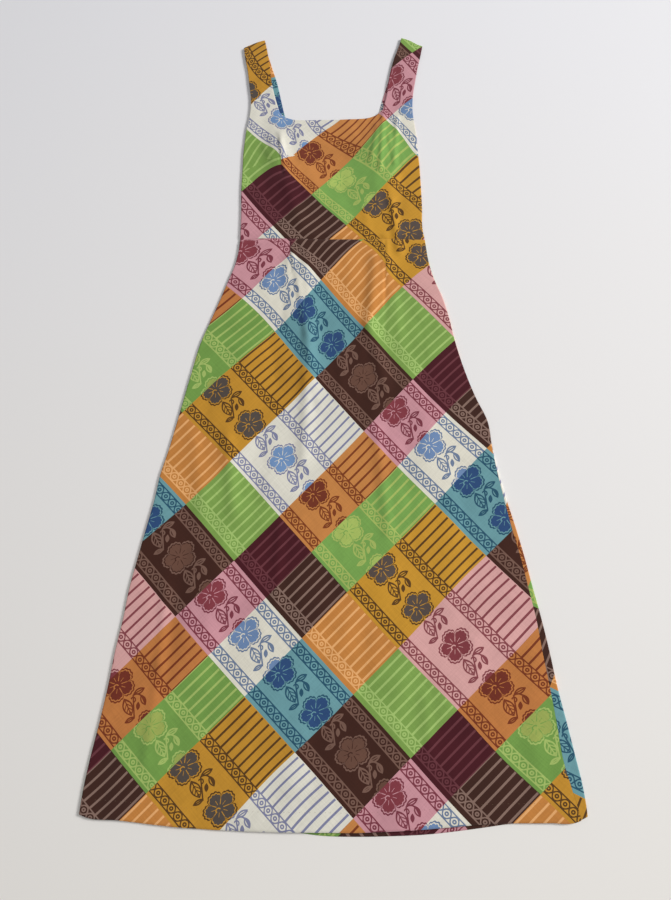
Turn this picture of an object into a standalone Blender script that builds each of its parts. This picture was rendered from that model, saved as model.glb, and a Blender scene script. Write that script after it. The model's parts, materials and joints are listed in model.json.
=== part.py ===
"""Sleeveless maxi sundress laid flat on its back, in a bias-cut check weave.

The dress is a flattened tube of four cut panels: a front bodice whose wide
straps are cut in one with it, a back bodice with straps of its own, and a
front and a back A-line skirt. Sizes are in millimetres until a mesh is made.
+X is to the right of the photograph, +Y is towards the shoulders, +Z is up.
"""

import math
from typing import Callable, NamedTuple

import bpy
import numpy as np

# Cloth and seams
MM = 0.001
OUTLINE_CENTRE = (-0.14, 1.13, 0.0)
WALL = 1.2
SEAM_GAP = 0.35
TURN_RADIUS = 1.6
BACK_LEVEL = WALL / 2
MIDDLE_LEVEL = BACK_LEVEL + TURN_RADIUS
FRONT_LEVEL = MIDDLE_LEVEL + TURN_RADIUS
TURN_STEPS = 3
CLOSED_TURN = math.pi / 2 - SEAM_GAP / 2 / TURN_RADIUS
OPEN_TURN = math.radians(30.0)

# Where the parts of the dress begin and end, up the middle
UNDERARM_Y = 512.0
UNDERARM_BLEND = 26.0
NECK_CORNER_Y = 558.0
NECK_DIP = 20.0
BACK_NECK_DROP = 14.0
BACK_STRAP_INSET = 1.2
STRAP_MIDDLE = 155.0
MEAN_WAIST_Y = 285.0
MEAN_HEM_Y = -707.0
BACK_HEM_INSET = 1.5

# The folds fade out towards the sides, where the two layers meet
RIM_CALM = 26.0
RIM_FULL = 64.0
SEAM_GROOVE_DEPTH = 0.9
SEAM_GROOVE_WIDTH = 5.0

# Columns and rows of the meshes
STRAP_COLUMNS = 4
NECK_FRACTIONS = (0.0, 0.035, 0.085, 0.16, 0.25, 0.34, 0.44, 0.54, 0.64, 0.74, 0.83, 0.91, 0.965, 1.0)
BODICE_ROWS = 17
STRAP_ROWS = 9
BACK_BODICE_ROWS = 9
FRONT_SKIRT_COLUMNS = 26
BACK_SKIRT_COLUMNS = 14
SKIRT_ROWS = 36
ROLL_STEP = 1.0
ROLL_FINE_STEPS = 5
ROLL_WIDE_STEPS = 2


class BodiceRow(NamedTuple):
    """Outline of the bodice and the straps' outer edges at one height."""

    y: float
    left: float
    right: float


class StrapRow(NamedTuple):
    """Inner edges of the two straps, and of the columns below them."""

    y: float
    left: float
    right: float


class SkirtRow(NamedTuple):
    """Outline of the skirt at one height, and the back's strip on the front."""

    y: float
    left: float
    right: float
    rolled: float


class WaistRow(NamedTuple):
    """Height of the waist seam across the dress."""

    x: float
    y: float


class HemRow(NamedTuple):
    """Height of the front and back hems across the skirt."""

    x: float
    front: float
    back: float


class Fold(NamedTuple):
    """One soft ridge (or trough, if its height is negative) of the front."""

    start_x: float
    start_y: float
    end_x: float
    end_y: float
    half_width: float
    height: float


BODICE = (
    BodiceRow(278, -170, 174), BodiceRow(301, -170, 170), BodiceRow(350, -170, 170),
    BodiceRow(392, -171, 169), BodiceRow(435, -170, 167.5), BodiceRow(478, -169, 164.5),
    BodiceRow(500, -167, 163.5), BodiceRow(520, -165, 161), BodiceRow(551, -159.5, 157.5),
    BodiceRow(584, -157.5, 158.5), BodiceRow(625, -162, 164.5), BodiceRow(658, -166, 170),
    BodiceRow(689, -171.5, 176), BodiceRow(726, -176, 182),
)
FRONT_STRAP = (
    StrapRow(285, -77, 99), StrapRow(420, -88, 98), StrapRow(558, -101, 100),
    StrapRow(584, -109, 107.5), StrapRow(620, -117.5, 113), StrapRow(655, -122, 121),
    StrapRow(701, -130, 136), StrapRow(728, -136, 143),
)
BACK_STRAP = (
    StrapRow(285, -77, 99), StrapRow(420, -84, 94), StrapRow(545, -89, 91),
    StrapRow(557, -92.5, 94), StrapRow(589, -100, 103), StrapRow(619, -107, 112.5),
    StrapRow(655, -118, 121.5), StrapRow(701, -131.5, 137.5), StrapRow(728, -138, 145),
)
SHOULDER = (
    WaistRow(-177, 707.5), WaistRow(-163, 714.5), WaistRow(-143, 722.5), WaistRow(-130, 726),
    WaistRow(0, 730), WaistRow(135, 723), WaistRow(157, 714), WaistRow(169, 706), WaistRow(182, 700),
)
SKIRT = (
    SkirtRow(296, -170, 172, 0), SkirtRow(267, -172, 175, 0), SkirtRow(237, -178, 179, 0),
    SkirtRow(205, -189.5, 187, 0), SkirtRow(165, -204, 202, 0), SkirtRow(125, -219.5, 212.5, 0),
    SkirtRow(85, -235, 220.5, 0), SkirtRow(30, -249, 235, 0), SkirtRow(-25, -262, 254, 0),
    SkirtRow(-66, -271.5, 271.5, 0), SkirtRow(-113, -283, 277.5, 0.3), SkirtRow(-160, -296, 286.5, 2),
    SkirtRow(-200, -303, 296, 3.5), SkirtRow(-250, -314.5, 309.5, 6.5), SkirtRow(-300, -326, 321.5, 6.5),
    SkirtRow(-350, -337, 332, 7), SkirtRow(-400, -344.5, 343, 8.5), SkirtRow(-450, -354, 352.5, 11.5),
    SkirtRow(-500, -361, 360.5, 12), SkirtRow(-560, -371.5, 372.5, 16), SkirtRow(-610, -381.5, 382, 19.5),
    SkirtRow(-650, -388.5, 389.5, 16.5), SkirtRow(-685, -393, 393.5, 11), SkirtRow(-730, -397, 394, 6),
)
WAIST = (
    WaistRow(-180, 286.5), WaistRow(-125, 289), WaistRow(-76, 288), WaistRow(-2, 284.5),
    WaistRow(54, 283.5), WaistRow(98, 284), WaistRow(137, 282), WaistRow(182, 280),
)
HEM = (
    HemRow(-396, -694, -694), HemRow(-383, -699, -698), HemRow(-332, -703, -702),
    HemRow(-271, -709, -708), HemRow(-211, -713.5, -712), HemRow(-151, -716, -714.5),
    HemRow(-92, -717, -715.5), HemRow(-52, -717, -718), HemRow(-16, -717, -722),
    HemRow(40, -717, -723), HemRow(96, -714, -721.5), HemRow(150, -710.5, -718.5),
    HemRow(199, -706, -713), HemRow(240, -702.5, -707.5), HemRow(283, -701, -701.5),
    HemRow(335, -700, -699), HemRow(378, -698, -697), HemRow(396, -689, -689),
)
FOLDS = (
    # the two cups, and the creases the bust darts throw
    Fold(-100, 455, -84, 415, 44, 6.5),
    Fold(96, 462, 112, 418, 46, 6.5),
    Fold(-97, 503, -95, 448, 8, 3.2),
    Fold(-74, 500, -70, 452, 10, -1.6),
    Fold(90, 518, 77, 450, 9, 2.8),
    Fold(113, 488, 122, 436, 9, 2.4),
    Fold(-84, 400, -58, 322, 13, 2.2),
    Fold(-30, 470, 35, 458, 22, -1.4),
    # the two waist darts of the skirt and the drag below each
    Fold(-77, 286, -71, 250, 7, 2.2),
    Fold(-70, 240, -34, 5, 16, 2.4),
    Fold(-98, 240, -88, 90, 17, -1.3),
    Fold(100, 284, 101, 232, 7, 2.4),
    Fold(99, 228, 70, 140, 15, 2.2),
    Fold(124, 220, 150, 60, 19, -1.3),
    # long shallow flares towards the hem, uneven in length and spacing
    Fold(-150, 60, -232, -470, 34, 2.0),
    Fold(20, 120, 12, -300, 38, -1.2),
    Fold(150, 0, 214, -430, 30, 1.8),
    Fold(-40, -250, -70, -690, 40, 1.6),
    Fold(88, -330, 118, -680, 34, 1.9),
    Fold(-160, -420, -196, -690, 30, -1.1),
)


def smooth_curve(positions: list[float], values: list[float]) -> Callable:
    """Return a cubic curve through the given values, flat beyond the ends."""
    order = np.argsort(positions)
    knots = np.asarray(positions, float)[order]
    heights = np.asarray(values, float)[order]
    slopes = np.gradient(heights, knots)

    def read(position):
        place = np.clip(np.asarray(position, float), knots[0], knots[-1])
        index = np.clip(np.searchsorted(knots, place) - 1, 0, len(knots) - 2)
        span = knots[index + 1] - knots[index]
        u = (place - knots[index]) / span
        return (
            (2 * u**3 - 3 * u**2 + 1) * heights[index]
            + (u**3 - 2 * u**2 + u) * span * slopes[index]
            + (3 * u**2 - 2 * u**3) * heights[index + 1]
            + (u**3 - u**2) * span * slopes[index + 1]
        )

    return read


def column_curve(rows: tuple, key: str, value: str) -> Callable:
    """Return the smooth curve of one named column of a table."""
    return smooth_curve([getattr(row, key) for row in rows], [getattr(row, value) for row in rows])


bodice_left = column_curve(BODICE, "y", "left")
bodice_right = column_curve(BODICE, "y", "right")
waist_height = column_curve(WAIST, "x", "y")
shoulder_height = column_curve(SHOULDER, "x", "y")
skirt_left = column_curve(SKIRT, "y", "left")
skirt_right = column_curve(SKIRT, "y", "right")
skirt_rolled = column_curve(SKIRT, "y", "rolled")


def smooth_step(value, low: float, high: float):
    """Return 0 below low, 1 above high, and an even blend between them."""
    u = np.clip((np.asarray(value, float) - low) / (high - low), 0.0, 1.0)
    return u * u * (3 - 2 * u)


def fold_height(fold: Fold, x, y):
    """Return the height that one fold adds at a place on the front."""
    run_x, run_y = fold.end_x - fold.start_x, fold.end_y - fold.start_y
    length = math.hypot(run_x, run_y)
    along = ((x - fold.start_x) * run_x + (y - fold.start_y) * run_y) / length
    across = ((x - fold.start_x) * run_y - (y - fold.start_y) * run_x) / length
    past_end = np.maximum(0.0, np.maximum(-along, along - length))
    reach = np.hypot(across, 0.8 * past_end)
    return fold.height * np.exp(-((reach / fold.half_width) ** 2))


def front_relief(x, y):
    """Return how far the front layer lifts off its flat level at a place."""
    lift = sum(fold_height(fold, x, y) for fold in FOLDS)
    left = np.where(y > MEAN_WAIST_Y, bodice_left(y), skirt_left(y))
    right = np.where(y > MEAN_WAIST_Y, bodice_right(y), skirt_right(y))
    calm = smooth_step(np.minimum(x - left, right - x), RIM_CALM, RIM_FULL)
    seam_distance = (y - waist_height(x)) / SEAM_GROOVE_WIDTH
    groove = SEAM_GROOVE_DEPTH * np.exp(-(seam_distance**2))
    return np.maximum(calm * lift, -SEAM_GROOVE_DEPTH) * (1 - 0.5 * np.exp(-(seam_distance**2))) - groove


def turned_edge(edge: float, inward: int, turn: float) -> list[tuple[float, float]]:
    """Return (place, rise) pairs where a layer turns over a side of the tube.

    The first pair is at the very edge; inward is +1 at a left side and -1 at a
    right one. The rise is 1 on the flat of the layer and 0 at the middle level.
    """
    pairs = []
    for step in range(TURN_STEPS, 0, -1):
        angle = turn * step / TURN_STEPS
        pairs.append((edge + inward * TURN_RADIUS * (math.sin(turn) - math.sin(angle)), math.cos(angle)))
    return pairs


def shell_object(
    name: str, middle: np.ndarray, ends: np.ndarray, kept: np.ndarray, colour: tuple
) -> bpy.types.Object:
    """Make a closed cloth wall round a grid of middle points.

    Args:
        name: Name of the object and of its node.
        middle: Grid of points, rows by columns by three, in millimetres.
        ends: Direction across the cloth at each row's first and last point.
        kept: Which cells of the grid are cloth, one less each way.
        colour: Main colour of the panel.

    Returns:
        The new object, with its own material.
    """
    across = np.gradient(middle, axis=1, edge_order=2)
    across[:, 0], across[:, -1] = ends[:, 0], ends[:, 1]
    along = np.gradient(middle, axis=0, edge_order=2)
    normal = np.cross(across, along)
    normal /= np.linalg.norm(normal, axis=2, keepdims=True)
    outer = (middle + normal * WALL / 2 - OUTLINE_CENTRE) * MM
    inner = (middle - normal * WALL / 2 - OUTLINE_CENTRE) * MM
    rows, columns = kept.shape
    index: dict[tuple[int, int, int], int] = {}
    points: list[tuple[float, float, float]] = []
    faces: list[tuple[int, ...]] = []

    def corner(side: int, row: int, column: int) -> int:
        key = (side, row, column)
        if key not in index:
            index[key] = len(points)
            points.append(tuple((outer if side else inner)[row, column]))
        return index[key]

    def is_kept(row: int, column: int) -> bool:
        return 0 <= row < rows and 0 <= column < columns and bool(kept[row, column])

    for row in range(rows):
        for column in range(columns):
            if not is_kept(row, column):
                continue
            ring = [(row, column), (row, column + 1), (row + 1, column + 1), (row + 1, column)]
            faces.append(tuple(corner(1, *place) for place in ring))
            faces.append(tuple(corner(0, *place) for place in reversed(ring)))
            neighbours = [(row - 1, column), (row, column + 1), (row + 1, column), (row, column - 1)]
            for number, neighbour in enumerate(neighbours):
                if not is_kept(*neighbour):
                    start, end = ring[number], ring[(number + 1) % 4]
                    faces.append((corner(1, *end), corner(1, *start), corner(0, *start), corner(0, *end)))

    mesh = bpy.data.meshes.new(name)
    mesh.from_pydata(points, [], faces)
    mesh.update()
    mesh.shade_smooth()
    mesh.set_sharp_from_angle(angle=math.radians(40))
    material = bpy.data.materials.new(name + "_check_weave")
    material.use_nodes = True
    surface = material.node_tree.nodes["Principled BSDF"]
    surface.inputs["Base Color"].default_value = (*colour, 1.0)
    surface.inputs["Roughness"].default_value = 0.85
    surface.inputs["Metallic"].default_value = 0.0
    mesh.materials.append(material)
    garment = bpy.data.objects.new(name, mesh)
    bpy.context.collection.objects.link(garment)
    return garment


def bodice_panel(name: str, strap: tuple, is_front: bool, colour: tuple) -> bpy.types.Object:
    """Make a bodice panel with its two straps cut in one with it."""
    strap_left = column_curve(strap, "y", "left")
    strap_right = column_curve(strap, "y", "right")
    side = 1 if is_front else -1
    body_rows = BODICE_ROWS if is_front else BACK_BODICE_ROWS
    neck_drop = 0.0 if is_front else BACK_NECK_DROP
    seam = SEAM_GAP / 2
    points, ends = [], []
    last_row = body_rows + STRAP_ROWS + TURN_STEPS
    for row in range(last_row + 1):
        if row <= body_rows:
            climb, shoulder_turn = row / body_rows, 0.0
        elif row <= body_rows + STRAP_ROWS:
            climb, shoulder_turn = (row - body_rows) / STRAP_ROWS, 0.0
        else:
            climb, shoulder_turn = 1.0, CLOSED_TURN * (row - body_rows - STRAP_ROWS) / TURN_STEPS
        line = []

        def height(x: float, neck_place: float) -> float:
            corner_rise = NECK_DIP * (1 - abs(2 * neck_place - 1) ** 7) if 0 < neck_place < 1 else 0.0
            neck = NECK_CORNER_Y - neck_drop - corner_rise
            waist = float(waist_height(x)) + seam
            if row <= body_rows:
                return waist + (neck - waist) * climb
            top = float(shoulder_height(x)) - WALL / 2 - TURN_RADIUS * math.sin(CLOSED_TURN)
            return neck + (top - neck) * climb + TURN_RADIUS * math.sin(shoulder_turn)

        left_y, right_y = height(-STRAP_MIDDLE, -1.0), height(STRAP_MIDDLE, -1.0)
        open_share = float(smooth_step(left_y, UNDERARM_Y - UNDERARM_BLEND, UNDERARM_Y + UNDERARM_BLEND))
        turn = CLOSED_TURN + (OPEN_TURN - CLOSED_TURN) * open_share
        inset = WALL / 2 + (0.0 if is_front else BACK_STRAP_INSET * open_share)
        edge_left, edge_right = float(bodice_left(left_y)) + inset, float(bodice_right(right_y)) - inset
        inner_left, inner_right = float(strap_left(left_y)), float(strap_right(right_y))
        left_turn = turned_edge(edge_left, 1, turn)
        right_turn = turned_edge(edge_right, -1, turn)
        flat_left = edge_left + TURN_RADIUS * math.sin(turn)
        flat_right = edge_right - TURN_RADIUS * math.sin(turn)
        lean = side * math.sin(turn) * math.cos(shoulder_turn)
        ends.append([(math.cos(turn), 0.0, lean), (math.cos(turn), 0.0, -lean)])
        places = [(x, rise, -1.0) for x, rise in left_turn]
        for column in range(STRAP_COLUMNS):
            places.append((flat_left + (inner_left - flat_left) * column / STRAP_COLUMNS, 1.0, -1.0))
        for part in NECK_FRACTIONS:
            places.append((inner_left + (inner_right - inner_left) * part, 1.0, part))
        for column in range(1, STRAP_COLUMNS + 1):
            places.append((inner_right + (flat_right - inner_right) * column / STRAP_COLUMNS, 1.0, -1.0))
        places.extend((x, rise, -1.0) for x, rise in reversed(right_turn))
        for x, rise, neck_place in places:
            y = height(x, neck_place)
            z = MIDDLE_LEVEL + side * TURN_RADIUS * rise * math.cos(shoulder_turn)
            if is_front:
                fade = math.cos(shoulder_turn) * rise
                z += float(front_relief(x, y)) * fade
            line.append((x, y, z))
        points.append(line)
    middle = np.array(points)
    kept = np.ones((middle.shape[0] - 1, middle.shape[1] - 1), bool)
    neck_start = TURN_STEPS + STRAP_COLUMNS
    kept[body_rows:, neck_start:neck_start + len(NECK_FRACTIONS) - 1] = False
    return shell_object(name, middle, np.array(ends), kept, colour)


def skirt_height(down: float, x: float, hem: Callable) -> float:
    """Return the height of a place that is a given share of the way down."""
    top = float(waist_height(x)) - SEAM_GAP / 2 - MEAN_WAIST_Y
    bottom = float(hem(x)) - MEAN_HEM_Y
    return MEAN_WAIST_Y + (MEAN_HEM_Y - MEAN_WAIST_Y) * down + top * (1 - down) + bottom * down


def rolled_arc(width: float) -> float:
    """Return the arc, from the fold at the side, that covers a plan width."""
    if width < TURN_RADIUS:
        return TURN_RADIUS * math.acos(1 - width / TURN_RADIUS)
    return TURN_RADIUS * math.pi / 2 + width - TURN_RADIUS


def right_side_place(edge: float, arc: float) -> tuple[float, float]:
    """Return (x, z) at an arc from the right fold: over the top, or under it if negative."""
    quarter = TURN_RADIUS * math.pi / 2
    level = 1 if arc >= 0 else -1
    reach = abs(arc)
    if reach < quarter:
        angle = reach / TURN_RADIUS
        x = edge - TURN_RADIUS * (1 - math.cos(angle))
        return x, MIDDLE_LEVEL + level * TURN_RADIUS * math.sin(angle)
    return edge - TURN_RADIUS - (reach - quarter), MIDDLE_LEVEL + level * TURN_RADIUS


def right_side_direction(arc: float) -> tuple[float, float, float]:
    """Return the direction of growing arc at a place round the right fold."""
    angle = min(abs(arc) / TURN_RADIUS, math.pi / 2)
    return (math.copysign(math.sin(angle), -arc), 0.0, math.cos(angle))


def front_skirt(colour: tuple) -> bpy.types.Object:
    """Make the front skirt, whose right edge lies a little in from the fold."""
    hem = column_curve(HEM, "x", "front")
    quarter = TURN_RADIUS * math.pi / 2
    points, ends = [], []
    for row in range(SKIRT_ROWS + 1):
        down = row / SKIRT_ROWS
        left_y = skirt_height(down, -170 - 225 * down, hem)
        right_y = skirt_height(down, 174 + 220 * down, hem)
        edge_left = float(skirt_left(left_y)) + WALL / 2
        edge_right = float(skirt_right(right_y)) - WALL / 2
        end_arc = rolled_arc(max(0.0, float(skirt_rolled(right_y)))) + SEAM_GAP / 2
        flat_left = edge_left + TURN_RADIUS * math.sin(CLOSED_TURN)
        flat_right = right_side_place(edge_right, end_arc + quarter)[0]
        places = [(x, MIDDLE_LEVEL + TURN_RADIUS * rise, rise) for x, rise in turned_edge(edge_left, 1, CLOSED_TURN)]
        for column in range(FRONT_SKIRT_COLUMNS + 1):
            share = column / FRONT_SKIRT_COLUMNS
            places.append((flat_left + (flat_right - flat_left) * share, FRONT_LEVEL, 1.0))
        for step in range(TURN_STEPS - 1, -1, -1):
            x, z = right_side_place(edge_right, end_arc + quarter * step / TURN_STEPS)
            places.append((x, z, (z - MIDDLE_LEVEL) / TURN_RADIUS))
        back_way = right_side_direction(end_arc)
        ends.append([(math.cos(CLOSED_TURN), 0.0, math.sin(CLOSED_TURN)), [-part for part in back_way]])
        line = []
        for x, z, rise in places:
            y = skirt_height(down, x, hem)
            line.append((x, y, z + float(front_relief(x, y)) * rise))
        points.append(line)
    middle = np.array(points)[::-1]
    kept = np.ones((middle.shape[0] - 1, middle.shape[1] - 1), bool)
    return shell_object("front_skirt", middle, np.array(ends)[::-1], kept, colour)


def back_skirt(colour: tuple) -> bpy.types.Object:
    """Make the back skirt, which lies on the surface and rolls round at the right."""
    hem = column_curve(HEM, "x", "back")
    quarter = TURN_RADIUS * math.pi / 2
    points, ends = [], []
    for row in range(SKIRT_ROWS + 1):
        down = row / SKIRT_ROWS
        left_y = skirt_height(down, -170 - 225 * down, hem)
        right_y = skirt_height(down, 174 + 220 * down, hem)
        edge_left = float(skirt_left(left_y)) + WALL / 2
        edge_right = float(skirt_right(right_y)) - WALL / 2
        end_arc = rolled_arc(max(0.0, float(skirt_rolled(right_y)))) - SEAM_GAP / 2
        flat_left = edge_left + TURN_RADIUS * math.sin(CLOSED_TURN)
        flat_right = edge_right - TURN_RADIUS
        places = [(x, MIDDLE_LEVEL - TURN_RADIUS * rise) for x, rise in turned_edge(edge_left, 1, CLOSED_TURN)]
        for column in range(BACK_SKIRT_COLUMNS):
            share = column / BACK_SKIRT_COLUMNS
            places.append((flat_left + (flat_right - flat_left) * share, BACK_LEVEL))
        whole = quarter + end_arc
        fine = min(ROLL_STEP, whole / (ROLL_FINE_STEPS + ROLL_WIDE_STEPS))
        wide = (whole - fine * ROLL_FINE_STEPS) / ROLL_WIDE_STEPS
        arc = -quarter
        places.append(right_side_place(edge_right, arc))
        for step in range(ROLL_FINE_STEPS + ROLL_WIDE_STEPS):
            arc += fine if step < ROLL_FINE_STEPS else wide
            places.append(right_side_place(edge_right, arc))
        left_way = (math.cos(CLOSED_TURN), 0.0, -math.sin(CLOSED_TURN))
        ends.append([left_way, right_side_direction(end_arc)])
        points.append([(x, skirt_height(down, x, hem), z) for x, z in places])
    middle = np.array(points)
    kept = np.ones((middle.shape[0] - 1, middle.shape[1] - 1), bool)
    return shell_object("back_skirt", middle, np.array(ends), kept, colour)


def main() -> None:
    """Clear the scene and make the four panels of the dress."""
    for item in list(bpy.data.objects):
        bpy.data.objects.remove(item, do_unlink=True)
    bodice_panel("front_bodice", FRONT_STRAP, True, (0.30, 0.33, 0.12))
    bodice_panel("back_bodice", BACK_STRAP, False, (0.16, 0.30, 0.36))
    front_skirt((0.42, 0.24, 0.10))
    back_skirt((0.13, 0.05, 0.04))


main()
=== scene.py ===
"""Looks of a sleeveless maxi sundress that lies flat on its back on a pale floor.

The dress is a flattened tube of four cut panels in one jacquard-woven check:
a front bodice with its wide straps cut in one, a back bodice, and a front and
a back skirt. Each panel is a thin closed shell on the form of its solid, and
carries a UV map named "cloth" that gives each point's place on the flat cloth
in metres, so that the check runs on the bias and is drawn aside where the
darts and folds draw it. Tables are in millimetres: +X is to the right of the
dress as seen from above, +Y towards the shoulders, +Z up.
"""

from __future__ import annotations

import json
import logging
import math
from dataclasses import dataclass
from enum import Enum
from typing import Callable, NamedTuple, Union

import bpy
import numpy as np
from mathutils import Matrix, Vector

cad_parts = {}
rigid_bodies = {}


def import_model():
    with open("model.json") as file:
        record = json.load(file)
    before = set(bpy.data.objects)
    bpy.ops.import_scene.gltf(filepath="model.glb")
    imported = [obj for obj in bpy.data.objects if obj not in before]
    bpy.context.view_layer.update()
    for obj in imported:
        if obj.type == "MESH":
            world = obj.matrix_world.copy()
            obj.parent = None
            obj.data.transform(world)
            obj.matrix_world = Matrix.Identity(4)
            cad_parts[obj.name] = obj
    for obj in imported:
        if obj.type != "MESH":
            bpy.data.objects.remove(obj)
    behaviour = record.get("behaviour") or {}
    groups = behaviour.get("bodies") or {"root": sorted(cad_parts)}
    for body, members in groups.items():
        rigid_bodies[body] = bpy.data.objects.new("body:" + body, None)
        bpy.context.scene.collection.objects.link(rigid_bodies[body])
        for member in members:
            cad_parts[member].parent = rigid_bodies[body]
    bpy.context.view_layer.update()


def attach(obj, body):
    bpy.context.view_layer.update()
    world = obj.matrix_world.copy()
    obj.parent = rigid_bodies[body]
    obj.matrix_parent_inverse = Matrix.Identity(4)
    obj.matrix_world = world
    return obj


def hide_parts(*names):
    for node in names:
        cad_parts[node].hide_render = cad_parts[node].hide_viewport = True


MM = 0.001
OUTLINE_CENTRE = np.array([-0.14, 1.13, 0.0])
LOG = logging.getLogger("dress")

Curve = Callable[[Union[float, np.ndarray]], np.ndarray]


# ---------------------------------------------------------------- tables


class EdgeRow(NamedTuple):
    """Places of a left and a right edge at one height."""

    y: float
    left: float
    right: float


class SkirtRow(NamedTuple):
    """Outline of the skirt at one height, and the back's strip on the front."""

    y: float
    left: float
    right: float
    rolled: float


class LineRow(NamedTuple):
    """Height of a line that runs across the dress."""

    x: float
    y: float


class HemRow(NamedTuple):
    """Height of the front and back hems across the skirt."""

    x: float
    front: float
    back: float


class Fold(NamedTuple):
    """One soft ridge (or trough, if its height is negative) of the cloth."""

    start_x: float
    start_y: float
    end_x: float
    end_y: float
    half_width: float
    height: float


class Pull(NamedTuple):
    """A place where the cloth is drawn aside from its flat lie."""

    x: float
    y: float
    reach: float
    across: float
    up: float


class Dart(NamedTuple):
    """A sewn dart or a pressed tuck, from its wide end to its point."""

    start_x: float
    start_y: float
    point_x: float
    point_y: float
    intake: float
    reach: float


class Layer(Enum):
    """Which side of the flattened tube a panel is."""

    FRONT = 1
    BACK = -1


BODICE_OUTLINE = (
    EdgeRow(278, -170, 174), EdgeRow(301, -170, 170), EdgeRow(350, -170, 170),
    EdgeRow(392, -171, 169), EdgeRow(435, -170, 167.5), EdgeRow(478, -169, 164.5),
    EdgeRow(500, -167, 163.5), EdgeRow(520, -165, 161), EdgeRow(551, -159.5, 157.5),
    EdgeRow(584, -157.5, 158.5), EdgeRow(625, -162, 164.5), EdgeRow(658, -166, 170),
    EdgeRow(689, -171.5, 176), EdgeRow(726, -176, 182),
)
FRONT_STRAP = (
    EdgeRow(285, -77, 99), EdgeRow(420, -88, 98), EdgeRow(558, -101, 100),
    EdgeRow(584, -109, 107.5), EdgeRow(620, -117.5, 113), EdgeRow(655, -122, 121),
    EdgeRow(701, -130, 136), EdgeRow(728, -136, 143),
)
BACK_STRAP = (
    EdgeRow(285, -77, 99), EdgeRow(420, -84, 94), EdgeRow(545, -89, 91),
    EdgeRow(557, -92.5, 94), EdgeRow(589, -100, 103), EdgeRow(619, -107, 112.5),
    EdgeRow(655, -118, 121.5), EdgeRow(701, -131.5, 137.5), EdgeRow(728, -138, 145),
)
SHOULDER = (
    LineRow(-177, 707.5), LineRow(-163, 714.5), LineRow(-143, 722.5), LineRow(-130, 726),
    LineRow(0, 730), LineRow(135, 723), LineRow(157, 714), LineRow(169, 706), LineRow(182, 700),
)
SKIRT_OUTLINE = (
    SkirtRow(296, -170, 172, 0), SkirtRow(267, -172, 175, 0), SkirtRow(237, -178, 179, 0),
    SkirtRow(205, -189.5, 187, 0), SkirtRow(165, -204, 202, 0), SkirtRow(125, -219.5, 212.5, 0),
    SkirtRow(85, -235, 220.5, 0), SkirtRow(30, -249, 235, 0), SkirtRow(-25, -262, 254, 0),
    SkirtRow(-66, -271.5, 271.5, 0), SkirtRow(-113, -283, 277.5, 0.3), SkirtRow(-160, -296, 286.5, 2),
    SkirtRow(-200, -303, 296, 3.5), SkirtRow(-250, -314.5, 309.5, 6.5), SkirtRow(-300, -326, 321.5, 6.5),
    SkirtRow(-350, -337, 332, 7), SkirtRow(-400, -344.5, 343, 8.5), SkirtRow(-450, -354, 352.5, 11.5),
    SkirtRow(-500, -361, 360.5, 12), SkirtRow(-560, -371.5, 372.5, 16), SkirtRow(-610, -381.5, 382, 19.5),
    SkirtRow(-650, -388.5, 389.5, 16.5), SkirtRow(-685, -393, 393.5, 11), SkirtRow(-730, -397, 394, 6),
)
WAIST = (
    LineRow(-180, 286.5), LineRow(-125, 289), LineRow(-76, 288), LineRow(-2, 284.5),
    LineRow(54, 283.5), LineRow(98, 284), LineRow(137, 282), LineRow(182, 280),
)
HEM = (
    HemRow(-396, -694, -694), HemRow(-383, -699, -698), HemRow(-332, -703, -702),
    HemRow(-271, -709, -708), HemRow(-211, -713.5, -712), HemRow(-151, -716, -714.5),
    HemRow(-92, -717, -715.5), HemRow(-52, -717, -718), HemRow(-16, -717, -722),
    HemRow(40, -717, -723), HemRow(96, -714, -721.5), HemRow(150, -710.5, -718.5),
    HemRow(199, -706, -713), HemRow(240, -702.5, -707.5), HemRow(283, -701, -701.5),
    HemRow(335, -700, -699), HemRow(378, -698, -697), HemRow(396, -689, -689),
)
MAIN_FOLDS = (
    # the two cups, and the creases the bust throws
    Fold(-100, 455, -84, 415, 44, 6.5),
    Fold(96, 462, 112, 418, 46, 6.5),
    Fold(-97, 503, -95, 448, 8, 3.2),
    Fold(-74, 500, -70, 452, 10, -1.6),
    Fold(90, 518, 77, 450, 9, 2.8),
    Fold(113, 488, 122, 436, 9, 2.4),
    Fold(-84, 400, -58, 322, 13, 2.2),
    Fold(-30, 470, 35, 458, 22, -1.4),
    # the two waist darts of the skirt and the drag below each
    Fold(-77, 286, -71, 250, 7, 2.2),
    Fold(-70, 240, -34, 5, 16, 2.4),
    Fold(-98, 240, -88, 90, 17, -1.3),
    Fold(100, 284, 101, 232, 7, 2.4),
    Fold(99, 228, 70, 140, 15, 2.2),
    Fold(124, 220, 150, 60, 19, -1.3),
    # long shallow flares towards the hem, uneven in length and spacing
    Fold(-150, 60, -232, -470, 34, 2.0),
    Fold(20, 120, 12, -300, 38, -1.2),
    Fold(150, 0, 214, -430, 30, 1.8),
    Fold(-40, -250, -70, -690, 40, 1.6),
    Fold(88, -330, 118, -680, 34, 1.9),
    Fold(-160, -420, -196, -690, 30, -1.1),
)
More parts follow.
